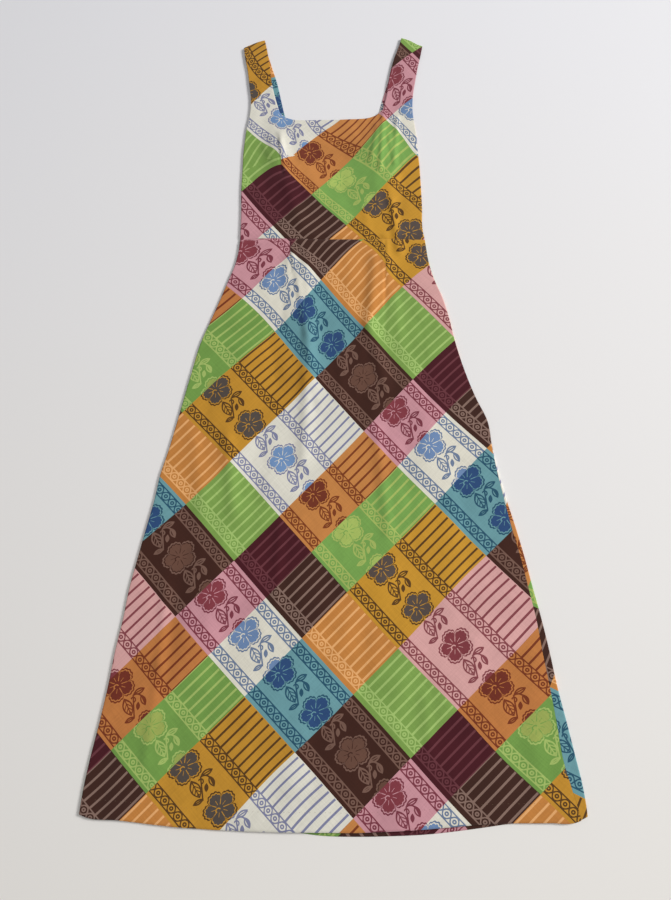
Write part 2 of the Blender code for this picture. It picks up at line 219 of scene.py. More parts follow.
CREASES = (
    # the ridges that drop from the two waist darts, steep on their left
    Fold(-44, 240, -38, 100, 12, 3.2),
    Fold(-38, 100, -46, -130, 12, 3.1),
    Fold(80, 240, 70, 110, 11, 3.6),
    Fold(70, 110, 95, 0, 12, 3.2),
    Fold(20, 80, 18, -20, 12, 1.5),
    # the two pulls of the right strap into the cup, and the one below it
    Fold(101, 546, 93, 428, 5.5, 2.9),
    Fold(127, 536, 120, 438, 5, 2.5),
    Fold(113, 360, 125, 262, 8, 3.0),
    # soft waves lower down
    Fold(-179, -95, -166, -215, 12, 3.0),
    Fold(-236, -100, -221, -210, 13, 1.9),
    Fold(-274, -350, -278, -470, 9, 2.4),
    Fold(-278, -470, -293, -616, 9, 2.2),
    Fold(81, -90, 97, -255, 10, 2.5),
    Fold(-86, -250, -89, -369, 9, 2.0),
    Fold(150, -520, 157, -600, 10, 1.6),
    # the bust dart, and the tuck above its point with the edge that it throws
    Fold(-166, 433, -98, 461, 2.4, -0.8),
    Fold(-160, 445, -100, 470, 9, 0.8),
    Fold(-103, 497, -93, 420, 2.4, -1.1),
    Fold(-96, 492, -86, 424, 4.5, 1.8),
    Fold(-116, 500, -104, 440, 7, 0.9),
    # creases that run down from the right cup to the waist
    Fold(82, 506, 70, 452, 4, -0.8),
    Fold(104, 500, 112, 448, 4, -0.9),
    Fold(122, 432, 163, 436, 3, -0.7),
    Fold(84, 420, 88, 352, 10, 0.9),
    Fold(134, 400, 128, 330, 9, -0.8),
    Fold(-52, 450, -24, 380, 12, 0.9),
    Fold(10, 430, 34, 360, 13, -0.8),
    Fold(-142, 420, -126, 360, 9, 0.8),
    # drag lines of the skirt's left dart
    Fold(-70, 214, -52, 96, 5, -0.9),
    Fold(-60, 196, -38, 60, 7, 1.2),
    Fold(-84, 210, -78, 120, 8, 0.8),
    Fold(-46, 60, -30, -40, 6, -0.9),
    Fold(-110, 120, -96, 10, 12, -0.9),
    # and of the right one
    Fold(103, 190, 96, 96, 6, -0.9),
    Fold(118, 170, 124, 70, 8, 0.9),
    Fold(62, 120, 44, -10, 12, 0.9),
    Fold(150, 110, 172, -30, 10, -0.9),
    Fold(36, 230, 28, 130, 12, 0.8),
    Fold(-10, 200, -4, 90, 12, -0.8),
    # the soft waves of the lower skirt
    Fold(-180, -260, -204, -400, 12, 0.9),
    Fold(-96, -300, -112, -470, 14, 0.9),
    Fold(30, -120, 22, -290, 12, 0.8),
    Fold(126, -110, 140, -300, 12, -0.9),
    Fold(-240, -280, -262, -440, 12, -0.8),
    Fold(54, -420, 58, -600, 14, -0.9),
    Fold(-130, -540, -142, -695, 12, 0.9),
    Fold(232, -440, 250, -600, 12, 0.9),
    Fold(-250, -560, -262, -690, 12, -0.9),
    Fold(318, -560, 332, -690, 12, 0.7),
    Fold(-330, -560, -346, -690, 11, 0.7),
    # pinched cloth beside the darts and along the waist seam
    Fold(-79, 284, -73, 222, 2.8, -1.3),
    Fold(99.5, 283, 98.5, 152, 2.8, -1.5),
    Fold(-60, 284, -48, 262, 5, 0.5),
    Fold(121, 281, 128, 258, 6, 0.5),
    Fold(-128, 288, -132, 262, 6, 0.4),
    Fold(30, 284, 32, 268, 6, 0.3),
    # small creases of the bodice
    Fold(-132, 486, -112, 452, 5, 0.7),
    Fold(132, 470, 139, 428, 6, 0.7),
    Fold(-20, 532, -4, 506, 8, 0.6),
    Fold(48, 530, 58, 494, 7, -0.6),
    Fold(-118, 336, -108, 300, 7, 0.6),
    Fold(62, 346, 70, 302, 7, 0.7),
    Fold(-140, 640, -136, 588, 6, 0.5),
    Fold(136, 655, 131, 600, 6, 0.5),
    # slight waves that run down the skirt
    Fold(-196, 40, -214, -110, 12, 0.7),
    Fold(-120, -60, -134, -250, 14, -0.7),
    Fold(70, 10, 84, -180, 13, 0.7),
    Fold(216, -150, 236, -330, 13, -0.7),
    Fold(-290, -400, -306, -560, 14, 0.8),
    Fold(-20, -470, -28, -660, 16, -0.7),
    Fold(180, -520, 190, -690, 15, 0.8),
    Fold(286, -470, 300, -660, 14, -0.7),
)
SKIRT_PULLS = (
    Pull(-125, 150, 110, -16.3, -0.8), Pull(-15, 235, 80, 2.6, -11.1), Pull(120, 185, 90, 7.7, -8.2),
    Pull(215, -20, 130, 12.4, -1.4), Pull(-225, -170, 150, -10.7, 3.7), Pull(60, -60, 150, 2.8, 2.8),
    Pull(110, -430, 180, 3.2, 4.4), Pull(-215, -470, 180, -0.1, 7.1), Pull(250, -330, 150, 8.7, 6.3),
    Pull(-100, 262, 40, -8.3, -4.3), Pull(-50, 255, 40, -5.9, 2.7), Pull(70, 255, 40, 1.8, -14.2),
    Pull(125, 250, 40, -1.3, -1.1), Pull(182, -694, 140, 7.5, 2.1), Pull(-58, -674, 70, 5.4, -4.1),
    Pull(-358, -654, 70, -3.6, 3.7), Pull(242, -374, 70, 0.9, -5.6), Pull(102, -194, 100, 1.3, 4.8),
    Pull(322, -454, 70, -1.0, 4.3), Pull(-58, -54, 70, -5.0, 0.7), Pull(-358, -494, 100, -4.9, -0.3),
    Pull(282, -594, 70, 3.3, 2.7),
)
SKIRT_DARTS = (Dart(-77.5, 292, -72, 226, 31.3, 110), Dart(100, 289, 101, 180, 19.1, 110))
BODICE_PULLS = (
    Pull(-30, 525, 55, 21.3, 17.6), Pull(45, 520, 50, 0.7, 8.2), Pull(-95, 470, 60, 3.9, -11.1),
    Pull(-60, 370, 60, 0.5, 1.7), Pull(100, 480, 60, -9.4, -22.7), Pull(150, 540, 80, 32.8, 1.2),
    Pull(-140, 640, 90, 36.7, 6.2), Pull(150, 660, 90, 9.4, -13.5), Pull(20, 430, 80, 17.3, 13.9),
    Pull(120, 350, 80, 3.7, -9.5), Pull(-140, 440, 50, 1.7, -2.0), Pull(-70, 440, 40, 0.3, 18.2),
    Pull(-150, 500, 45, 9.7, -4.5), Pull(150, 450, 50, 18.5, 8.4), Pull(25, 317, 60, -2.0, 4.8),
    Pull(85, 337, 40, 0.8, 3.6),
)
BODICE_DARTS = (
    # the bust dart, drawn out past the left side seam so that it is open there,
    # and the tuck pressed flat above its point
    Dart(-205.4, 416.4, -95.6, 461.9, 39.2, 70),
    Dart(-95, 456, -104, 497, 14.6, 30), Dart(-95, 456, -92, 424, 14.6, 30),
)


# ---------------------------------------------------------------- curves and cloth


def smooth_curve(positions: list[float], values: list[float]) -> Curve:
    """Return a cubic curve through the given values, flat beyond the ends.

    Args:
        positions: Where each value stands.
        values: The curve's value at each position.

    Returns:
        A function of one position, or of an array of them.
    """
    order = np.argsort(positions)
    knots = np.asarray(positions, float)[order]
    heights = np.asarray(values, float)[order]
    slopes = np.gradient(heights, knots)

    def read(position: float | np.ndarray) -> np.ndarray:
        """Return the curve's value at a position."""
        place = np.clip(np.asarray(position, float), knots[0], knots[-1])
        index = np.clip(np.searchsorted(knots, place) - 1, 0, len(knots) - 2)
        span = knots[index + 1] - knots[index]
        u = (place - knots[index]) / span
        return (
            (2 * u**3 - 3 * u**2 + 1) * heights[index]
            + (u**3 - 2 * u**2 + u) * span * slopes[index]
            + (3 * u**2 - 2 * u**3) * heights[index + 1]
            + (u**3 - u**2) * span * slopes[index + 1]
        )

    return read


def column_curve(rows: tuple, key: str, value: str) -> Curve:
    """Return the smooth curve of one named column of a table."""
    return smooth_curve([getattr(row, key) for row in rows], [getattr(row, value) for row in rows])


WAIST_LINE = column_curve(WAIST, "x", "y")
SHOULDER_LINE = column_curve(SHOULDER, "x", "y")
BODICE_LEFT = column_curve(BODICE_OUTLINE, "y", "left")
BODICE_RIGHT = column_curve(BODICE_OUTLINE, "y", "right")
SKIRT_LEFT = column_curve(SKIRT_OUTLINE, "y", "left")
SKIRT_RIGHT = column_curve(SKIRT_OUTLINE, "y", "right")
SKIRT_ROLLED = column_curve(SKIRT_OUTLINE, "y", "rolled")


def smooth_step(value: float | np.ndarray, low: float, high: float) -> np.ndarray:
    """Return 0 below low, 1 above high, and an even blend between them."""
    u = np.clip((np.asarray(value, float) - low) / (high - low), 0.0, 1.0)
    return u * u * (3 - 2 * u)


@dataclass(frozen=True)
class ClothLie:
    """How the flat check lies under one panel.

    The check's first axis is turned clockwise from +X, and both axes are
    measured from the check's own corner. Pulls draw the cloth aside, and at
    a dart the check jumps by the cloth that the dart takes up.
    """

    turn: float
    corner: tuple[float, float]
    pulls: tuple[Pull, ...] = ()
    darts: tuple[Dart, ...] = ()
    steady: tuple[float, float] = (0.0, 0.0)

    def place(self, points: np.ndarray, centres: np.ndarray) -> np.ndarray:
        """Return the place on the flat cloth of points of the dress.

        Args:
            points: Two numbers a point, in millimetres.
            centres: The middle of the face that each point is a corner of,
                which says on which side of a dart the point is.

        Returns:
            Two numbers a point, in millimetres.
        """
        moved = points + np.array(self.steady)
        for pull in self.pulls:
            away = np.sum((points - [pull.x, pull.y]) ** 2, axis=1)
            moved = moved + np.exp(-away / pull.reach**2)[:, None] * (pull.across, pull.up)
        for dart in self.darts:
            start = np.array([dart.start_x, dart.start_y])
            run = np.array([dart.point_x, dart.point_y]) - start
            length = math.hypot(*run)
            aside = np.array([-run[1], run[0]]) / length
            down = (points - start) @ run / length**2
            share = np.where(down < 0, 0.0, np.clip(1 - down, 0.0, 1.0))
            fall = np.exp(-(((points - start) @ aside / dart.reach) ** 2))
            side = np.where((centres - start) @ aside > 0, 0.5, -0.5)
            moved = moved + (dart.intake * share * fall * side)[:, None] * aside
        angle = math.radians(self.turn)
        axes = np.array([[math.cos(angle), math.sin(angle)], [-math.sin(angle), math.cos(angle)]])
        return moved @ axes + np.array(self.corner)


@dataclass
class Sheet:
    """The middle of a panel's cloth as a grid, ready to be walled.

    Attributes:
        middle: Points, rows by columns by three, in millimetres.
        ends: Direction across the cloth at each row's first and last point.
        kept: Which cells of the grid are cloth, one less each way.
        spread: The points laid out flat, as the panel's lie reads them.
        lie: How the check lies under the panel.
    """

    middle: np.ndarray
    ends: np.ndarray
    kept: np.ndarray
    spread: np.ndarray
    lie: ClothLie


@dataclass(frozen=True)
class ClothWall:
    """Thickness and edges of the cloth, in millimetres."""

    thickness: float = 0.9
    edge_bulge: float = 0.42

    def rim(self, rings: np.ndarray, kept: np.ndarray) -> tuple[np.ndarray, np.ndarray, np.ndarray]:
        """Find the bare edges of the cloth.

        Args:
            rings: Corner points of each kept cell, in order round it.
            kept: Which cells of the grid are cloth.

        Returns:
            The points at which each bare edge starts and ends, and its cell.
        """
        row, column = np.nonzero(kept)
        padded = np.pad(kept, 1)
        beside = (
            padded[row, column + 1], padded[row + 1, column + 2],
            padded[row + 2, column + 1], padded[row + 1, column],
        )
        bare = [np.nonzero(~neighbour)[0] for neighbour in beside]
        start = np.concatenate([rings[cells, side] for side, cells in enumerate(bare)])
        end = np.concatenate([rings[cells, (side + 1) % 4] for side, cells in enumerate(bare)])
        return start, end, np.concatenate(bare)

    def build(self, name: str, sheet: Sheet, material: bpy.types.Material) -> bpy.types.Object:
        """Make a closed thin shell with rounded edges round a sheet.

        Args:
            name: Name of the new object.
            sheet: The middle of the cloth.
            material: Finish of the panel.

        Returns:
            The object, at the origin, with its UV map "cloth".
        """
        middle = sheet.middle - OUTLINE_CENTRE
        across = np.gradient(middle, axis=1, edge_order=2)
        across[:, 0], across[:, -1] = sheet.ends[:, 0], sheet.ends[:, 1]
        normal = np.cross(across, np.gradient(middle, axis=0, edge_order=2))
        normal /= np.linalg.norm(normal, axis=2, keepdims=True)
        flat, flat_normal = middle.reshape(-1, 3), normal.reshape(-1, 3)
        wide = middle.shape[1]
        row, column = np.nonzero(sheet.kept)
        first = row * wide + column
        rings = np.stack([first, first + 1, first + wide + 1, first + wide], axis=1)
        start, end, rim_cell = self.rim(rings, sheet.kept)
        outward = np.zeros_like(flat)
        push = np.cross(flat[end] - flat[start], flat_normal[start])
        np.add.at(outward, start, push)
        np.add.at(outward, end, push)
        outward /= np.maximum(np.linalg.norm(outward, axis=1, keepdims=True), 1e-9)
        half = self.thickness / 2
        layers = [flat + flat_normal * half, flat - flat_normal * half, flat + outward * self.edge_bulge]
        used = [np.unique(rings), np.unique(rings), np.unique(np.concatenate([start, end]))]
        number = np.full((len(layers), len(flat)), -1)
        count = 0
        for layer, ids in enumerate(used):
            number[layer, ids] = np.arange(count, count + len(ids))
            count += len(ids)
        points = np.concatenate([layer[ids] for layer, ids in zip(layers, used)]) * MM
        rim = np.stack([end, start, start, end], axis=1)
        corners = [rings, rings[:, ::-1], rim, rim]
        sides = [(0, 0, 0, 0), (1, 1, 1, 1), (0, 0, 2, 2), (2, 2, 1, 1)]
        faces = np.concatenate([number[np.array(side), ids] for ids, side in zip(corners, sides)])
        cells = np.concatenate([np.arange(len(rings)), np.arange(len(rings)), rim_cell, rim_cell])
        mesh = bpy.data.meshes.new(name)
        mesh.from_pydata(points.tolist(), [], faces.tolist())
        spread = sheet.spread.reshape(-1, 2)
        centres = spread[rings].mean(axis=1)
        place = sheet.lie.place(spread[np.concatenate(corners).ravel()], centres[np.repeat(cells, 4)])
        cloth_map = mesh.uv_layers.new(name="cloth")
        cloth_map.data.foreach_set("uv", (place * MM).astype(np.float32).ravel())
        mesh.update()
        mesh.shade_smooth()
        mesh.materials.append(material)
        panel = bpy.data.objects.new(name, mesh)
        bpy.context.scene.collection.objects.link(panel)
        return panel


@dataclass(frozen=True)
class LayLevels:
    """Heights and turns of the cloth of the flattened tube, in millimetres."""

    solid_wall: float = 1.2
    turn_radius: float = 1.6
    turn_steps: int = 6
    side_gap: float = 0.35
    open_turn: float = math.radians(30.0)

    @property
    def back(self) -> float:
        """Return the height of the middle of the back layer."""
        return self.solid_wall / 2

    @property
    def middle(self) -> float:
        """Return the height at which the two layers meet."""
        return self.back + self.turn_radius

    @property
    def front(self) -> float:
        """Return the height of the middle of the front layer."""
        return self.middle + self.turn_radius

    @property
    def closed_turn(self) -> float:
        """Return the angle through which a layer turns to a seam."""
        return math.pi / 2 - self.side_gap / 2 / self.turn_radius

    def turned_edge(self, edge: float, inward: int, turn: float) -> tuple[np.ndarray, np.ndarray]:
        """Return where a layer turns over a side of the tube.

        Args:
            edge: Place of the side.
            inward: +1 at a left side and -1 at a right one.
            turn: Angle of the turn.

        Returns:
            Places and rises, from the very edge inwards. The rise is 1 on the
            flat of the layer and 0 at the middle level.
        """
        angle = turn * np.arange(self.turn_steps, 0, -1) / self.turn_steps
        return edge + inward * self.turn_radius * (math.sin(turn) - np.sin(angle)), np.cos(angle)


@dataclass(frozen=True)
class Relief:
    """Form of the front layer: cups, folds, darts and the sewn waist.

    Lengths are in millimetres. Each ripple is its pitch across, its pitch up
    and the angle that it starts at.
    """

    folds: tuple[Fold, ...] = MAIN_FOLDS
    creases: tuple[Fold, ...] = CREASES
    rim_calm: float = 26.0
    rim_full: float = 64.0
    crease_calm: float = 9.0
    crease_full: float = 34.0
    groove_depth: float = 0.9
    groove_width: float = 5.0
    seam_hold: float = 0.5
    allowance: float = 9.0
    allowance_width: float = 3.5
    allowance_height: float = 0.35
    end_squeeze: float = 0.8
    ripple_height: float = 0.17
    ripples: tuple[tuple[float, float, float], ...] = (
        (71.0, 310.0, 0.4), (118.0, -236.0, 1.9), (-203.0, 97.0, 3.1),
        (53.0, -401.0, 5.0), (160.0, 74.0, 2.2),
    )

    def ridges(self, folds: tuple[Fold, ...], x: np.ndarray, y: np.ndarray) -> np.ndarray:
        """Return the height of a set of folds at given places, in millimetres."""
        lift = np.zeros_like(x)
        for fold in folds:
            run_x, run_y = fold.end_x - fold.start_x, fold.end_y - fold.start_y
            length = math.hypot(run_x, run_y)
            along = ((x - fold.start_x) * run_x + (y - fold.start_y) * run_y) / length
            aside = ((x - fold.start_x) * run_y - (y - fold.start_y) * run_x) / length
            past_end = self.end_squeeze * np.maximum(0.0, np.maximum(-along, along - length))
            lift = lift + fold.height * np.exp(-((np.hypot(aside, past_end) / fold.half_width) ** 2))
        return lift

    def height(
        self, x: np.ndarray, y: np.ndarray, left: np.ndarray, right: np.ndarray, waist: np.ndarray
    ) -> np.ndarray:
        """Return how far the front layer lifts off its flat level.

        Args:
            x: Places across, in millimetres.
            y: Places up.
            left: Left edge at each place.
            right: Right edge at each place.
            waist: Height of the waist seam at each place.

        Returns:
            Heights in millimetres.
        """
        edge = np.minimum(x - left, right - x)
        fine = self.ridges(self.creases, x, y)
        for pitch_x, pitch_y, start in self.ripples:
            fine = fine + self.ripple_height * np.sin(math.tau * (x / pitch_x + y / pitch_y) + start)
        lift = self.ridges(self.folds, x, y) * smooth_step(edge, self.rim_calm, self.rim_full)
        lift = lift + fine * smooth_step(edge, self.crease_calm, self.crease_full)
        near = np.exp(-(((y - waist) / self.groove_width) ** 2))
        beside = np.exp(-(((np.abs(y - waist) - self.allowance) / self.allowance_width) ** 2))
        form = np.maximum(lift, -self.groove_depth) * (1 - self.seam_hold * near)
        return form + self.allowance_height * beside - self.groove_depth * near


# ---------------------------------------------------------------- bodice and skirt


@dataclass(frozen=True)
class Bodice:
    """Front and back bodice, each with its two straps cut in one with it."""

    levels: LayLevels = LayLevels()
    relief: Relief = Relief()
    seam_gap: float = 0.12
    underarm: float = 512.0
    underarm_blend: float = 26.0
    neck_corner: float = 558.0
    neck_dip: float = 20.0
    neck_squareness: int = 7
    back_neck_drop: float = 14.0
    back_strap_inset: float = 1.2
    strap_middle: float = 155.0
    body_rows: int = 120
    strap_rows: int = 60
    strap_columns: int = 32
    neck_split: int = 5
    neck_marks: tuple[float, ...] = (
        0.0, 0.035, 0.085, 0.16, 0.25, 0.34, 0.44, 0.54, 0.64, 0.74, 0.83, 0.91, 0.965, 1.0,
    )
    front_lie: ClothLie = ClothLie(48.36, (217.50, 446.90), BODICE_PULLS, BODICE_DARTS)
    back_lie: ClothLie = ClothLie(12.0, (128.2, -521.2))

    def over(self, row: int) -> float:
        """Return the angle through which a row has turned over the shoulder."""
        past = max(0, row - self.body_rows - self.strap_rows)
        return self.levels.closed_turn * past / self.levels.turn_steps

    def height(self, layer: Layer, x: np.ndarray, mark: np.ndarray, row: int) -> np.ndarray:
        """Return how far up the places of one row are.

        Args:
            layer: Which panel.
            x: Places across, in millimetres.
            mark: Share of the way across the neck, or a negative number beside it.
            row: Number of the row, from the waist seam up.

        Returns:
            Heights in millimetres.
        """
        levels = self.levels
        drop = 0.0 if layer is Layer.FRONT else self.back_neck_drop
        curve = self.neck_dip * (1 - np.abs(2 * mark - 1) ** self.neck_squareness)
        neck = self.neck_corner - drop - np.where((mark > 0) & (mark < 1), curve, 0.0)
        waist = WAIST_LINE(x) + self.seam_gap / 2
        if row <= self.body_rows:
            return waist + (neck - waist) * row / self.body_rows
        climb = min(1.0, (row - self.body_rows) / self.strap_rows)
        top = SHOULDER_LINE(x) - levels.solid_wall / 2 - levels.turn_radius * math.sin(levels.closed_turn)
        return neck + (top - neck) * climb + levels.turn_radius * math.sin(self.over(row))

    def sheet(self, layer: Layer) -> Sheet:
        """Return the middle of one of the two bodice panels.

        Args:
            layer: Which panel.

        Returns:
            Its grid, from the waist seam up to the shoulder seams.
        """
        is_front = layer is Layer.FRONT
        rows = FRONT_STRAP if is_front else BACK_STRAP
        strap_left, strap_right = column_curve(rows, "y", "left"), column_curve(rows, "y", "right")
        levels, steps = self.levels, self.levels.turn_steps
        spans = zip(self.neck_marks, self.neck_marks[1:])
        parts = [np.linspace(*span, self.neck_split, endpoint=False) for span in spans]
        marks = np.concatenate([*parts, [1.0]])
        points, ends = [], []
        for row in range(self.body_rows + self.strap_rows + steps + 1):
            over = self.over(row)
            left_y, right_y = (
                float(self.height(layer, np.array(place), np.array(-1.0), row))
                for place in (-self.strap_middle, self.strap_middle)
            )
            blend_low, blend_high = self.underarm - self.underarm_blend, self.underarm + self.underarm_blend
            opened = float(smooth_step(left_y, blend_low, blend_high))
            turn = levels.closed_turn + (levels.open_turn - levels.closed_turn) * opened
            inset = levels.solid_wall / 2 + (0.0 if is_front else self.back_strap_inset * opened)
            edge_left, edge_right = float(BODICE_LEFT(left_y)) + inset, float(BODICE_RIGHT(right_y)) - inset
            inner_left, inner_right = float(strap_left(left_y)), float(strap_right(right_y))
            reach = levels.turn_radius * math.sin(turn)
            left_x, left_rise = levels.turned_edge(edge_left, 1, turn)
            right_x, right_rise = levels.turned_edge(edge_right, -1, turn)
            lean = layer.value * math.sin(turn) * math.cos(over)
            ends.append([(math.cos(turn), 0.0, lean), (math.cos(turn), 0.0, -lean)])
            share = np.arange(self.strap_columns) / self.strap_columns
            x = np.concatenate([
                left_x,
                edge_left + reach + (inner_left - edge_left - reach) * share,
                inner_left + (inner_right - inner_left) * marks,
                inner_right + (edge_right - reach - inner_right) * (share + 1 / self.strap_columns),
                right_x[::-1],
            ])
            rise = np.ones(len(x))
            rise[:steps], rise[-steps:] = left_rise, right_rise[::-1]
            mark = np.full(len(x), -1.0)
            mark[steps + self.strap_columns:][:len(marks)] = marks
            y = self.height(layer, x, mark, row)
            z = levels.middle + layer.value * levels.turn_radius * rise * math.cos(over)
            if is_front:
                form = self.relief.height(x, y, BODICE_LEFT(y), BODICE_RIGHT(y), WAIST_LINE(x))
                z = z + form * rise * math.cos(over)
            points.append(np.stack([x, y, z], axis=1))
        middle = np.array(points)
        kept = np.ones((middle.shape[0] - 1, middle.shape[1] - 1), bool)
        start = steps + self.strap_columns
        kept[self.body_rows:, start:start + len(marks) - 1] = False
        spread = middle[..., :2] * (layer.value, 1)
        return Sheet(middle, np.array(ends), kept, spread, self.front_lie if is_front else self.back_lie)


@dataclass(frozen=True)
class Skirt:
    """Front and back A-line skirt, the back rolled a little to the front at the right.

    The fold way is the way in which the flat cloth runs on under the fold at
    the right, and the sides are rough places at which the heights are read.
    """

    levels: LayLevels = LayLevels()
    relief: Relief = Relief()
    seam_gap: float = 0.12
    mean_waist: float = 285.0
    mean_hem: float = -707.0
    waist_sides: tuple[float, float] = (-170.0, 174.0)
    hem_sides: tuple[float, float] = (-395.0, 394.0)
    front_rows: int = 250
    front_columns: int = 150
    back_rows: int = 150
    back_columns: int = 56
    roll_steps: int = 26
    dart_columns: float = 9.0
    dart_fade: float = 2.5
    fold_way: tuple[float, float] = (0.924, 0.383)
    front_lie: ClothLie = ClothLie(45.94, (151.81, 458.57), SKIRT_PULLS, SKIRT_DARTS, (-0.38, -3.5))
    back_lie: ClothLie = ClothLie(25.47, (-103.30, 432.66))

    def height(self, down: float | np.ndarray, x: np.ndarray, hem: Curve) -> np.ndarray:
        """Return how far up a place is that is a given share of the way down."""
        mean = self.mean_waist + (self.mean_hem - self.mean_waist) * down
        top = WAIST_LINE(x) - self.seam_gap / 2 - self.mean_waist
        bottom = hem(x) - self.mean_hem
        return mean + top * (1 - down) + bottom * down

    def rolled_arc(self, width: float) -> float:
        """Return the arc, from the fold at the side, that covers a plan width."""
        radius = self.levels.turn_radius
        if width < radius:
            return radius * math.acos(1 - width / radius)
        return radius * math.pi / 2 + width - radius

    def right_side(self, edge: float, arc: np.ndarray) -> tuple[np.ndarray, np.ndarray]:
        """Return (x, z) at arcs from the right fold: over the top, or under it if negative."""
        radius, middle = self.levels.turn_radius, self.levels.middle
        quarter = radius * math.pi / 2
        level = np.where(arc >= 0, 1.0, -1.0)
        angle = np.minimum(np.abs(arc), quarter) / radius
        x = edge - radius * (1 - np.cos(angle)) - np.maximum(0.0, np.abs(arc) - quarter)
        return x, middle + level * radius * np.sin(angle)

    def right_way(self, arc: float) -> tuple[float, float, float]:
        """Return the direction of growing arc at a place round the right fold."""
        angle = min(abs(arc) / self.levels.turn_radius, math.pi / 2)
        return (math.copysign(math.sin(angle), -arc), 0.0, math.cos(angle))

    def edges(self, down: float, hem: Curve) -> tuple[float, float, float]:
        """Return the left edge, the right edge and the rolled arc of one row."""
        left_y, right_y = (
            float(self.height(down, np.array(at_waist + (at_hem - at_waist) * down), hem))
            for at_waist, at_hem in zip(self.waist_sides, self.hem_sides)
        )
        half = self.levels.solid_wall / 2
        rolled = self.rolled_arc(max(0.0, float(SKIRT_ROLLED(right_y))))
        return float(SKIRT_LEFT(left_y)) + half, float(SKIRT_RIGHT(right_y)) - half, rolled

    def along_darts(self, x: np.ndarray, y: np.ndarray) -> np.ndarray:
        """Return the places across, with one column of points drawn onto each dart."""
        for dart in self.front_lie.darts:
            column = int(np.argmin(np.abs(x[0] - dart.start_x)))
            share = (dart.start_y - y[:, column]) / (dart.start_y - dart.point_y)
            line = dart.start_x + (dart.point_x - dart.start_x) * np.clip(share, 0.0, 1.0)
            fade = 1 - smooth_step(share, 1.0, self.dart_fade)
            near = np.exp(-(((np.arange(x.shape[1]) - column) / self.dart_columns) ** 2))
            x = x + ((line - x[:, column]) * fade)[:, None] * near
        return x

    def front_sheet(self) -> Sheet:
        """Return the middle of the front skirt, from the hem up to the waist."""
        hem = column_curve(HEM, "x", "front")
        levels, quarter = self.levels, self.levels.turn_radius * math.pi / 2
        steps = levels.turn_steps
        across, ends, rises, lifts = [], [], [], []
        for row in range(self.front_rows + 1):
            left, right, arc = self.edges(row / self.front_rows, hem)
            arc += self.seam_gap / 2
            left_x, left_rise = levels.turned_edge(left, 1, levels.closed_turn)
            flat_left = left + levels.turn_radius * math.sin(levels.closed_turn)
            flat_right = float(self.right_side(right, np.array(arc + quarter))[0])
            turn_x, turn_z = self.right_side(right, arc + quarter * np.arange(steps - 1, -1, -1) / steps)
            share = np.arange(self.front_columns + 1) / self.front_columns
            across.append(np.concatenate([left_x, flat_left + (flat_right - flat_left) * share, turn_x]))
            turn_rise = (turn_z - levels.middle) / levels.turn_radius
            rises.append(np.concatenate([left_rise, np.ones(len(share)), turn_rise]))
            lifts.append(np.concatenate([
                levels.middle + levels.turn_radius * left_rise, np.full(len(share), levels.front), turn_z,
            ]))
            ends.append([
                (math.cos(levels.closed_turn), 0.0, math.sin(levels.closed_turn)),
                [-part for part in self.right_way(arc)],
            ])
        x, rise, z = np.array(across), np.array(rises), np.array(lifts)
        down = np.arange(self.front_rows + 1)[:, None] / self.front_rows
        x = self.along_darts(x, self.height(down, x, hem))
        y = self.height(down, x, hem)
        form = self.relief.height(x, y, SKIRT_LEFT(y), SKIRT_RIGHT(y), WAIST_LINE(x))
        middle = np.stack([x, y, z + form * rise], axis=2)[::-1]
        kept = np.ones((middle.shape[0] - 1, middle.shape[1] - 1), bool)
        return Sheet(middle, np.array(ends)[::-1], kept, middle[..., :2], self.front_lie)

    def back_sheet(self) -> Sheet:
        """Return the middle of the back skirt, from the waist down to the hem."""
        hem = column_curve(HEM, "x", "back")
        levels, quarter = self.levels, self.levels.turn_radius * math.pi / 2
        points, ends, spread = [], [], []
        for row in range(self.back_rows + 1):
            down = row / self.back_rows
            left, right, arc_end = self.edges(down, hem)
            arc_end -= self.seam_gap / 2
            left_x, left_rise = levels.turned_edge(left, 1, levels.closed_turn)
            flat_left = left + levels.turn_radius * math.sin(levels.closed_turn)
            flat_right = right - levels.turn_radius
            flat_x = flat_left + (flat_right - flat_left) * np.arange(self.back_columns) / self.back_columns
            arc = -quarter + (quarter + arc_end) * np.arange(self.roll_steps + 1) / self.roll_steps
            roll_x, roll_z = self.right_side(right, arc)
            x = np.concatenate([left_x, flat_x, roll_x])
            z = np.concatenate([
                levels.middle - levels.turn_radius * left_rise, np.full(len(flat_x), levels.back), roll_z,
            ])
            y = self.height(down, x, hem)
            turned = flat_right + quarter
            flat = np.concatenate([left_x, flat_x])
            under = np.concatenate([turned - flat, np.maximum(0.0, -arc)])
            over = np.concatenate([np.zeros(len(flat)), np.maximum(0.0, arc)])
            cloth_x = turned - over + under * self.fold_way[0]
            spread.append(np.stack([cloth_x, y + under * self.fold_way[1]], axis=1))
            ends.append([
                (math.cos(levels.closed_turn), 0.0, -math.sin(levels.closed_turn)), self.right_way(arc_end),
            ])
            points.append(np.stack([x, y, z], axis=1))
        middle = np.array(points)
        kept = np.ones((middle.shape[0] - 1, middle.shape[1] - 1), bool)
        return Sheet(middle, np.array(ends), kept, np.array(spread), self.back_lie)


# ---------------------------------------------------------------- materials


def linear(hex_colour: str) -> tuple[float, float, float, float]:
    """Return the linear colour, with alpha 1, of an sRGB hex value such as "#C8922E"."""
    parts = [int(hex_colour[start:start + 2], 16) / 255 for start in (1, 3, 5)]
    turned = [part / 12.92 if part <= 0.04045 else ((part + 0.055) / 1.055) ** 2.4 for part in parts]
    return (*turned, 1.0)


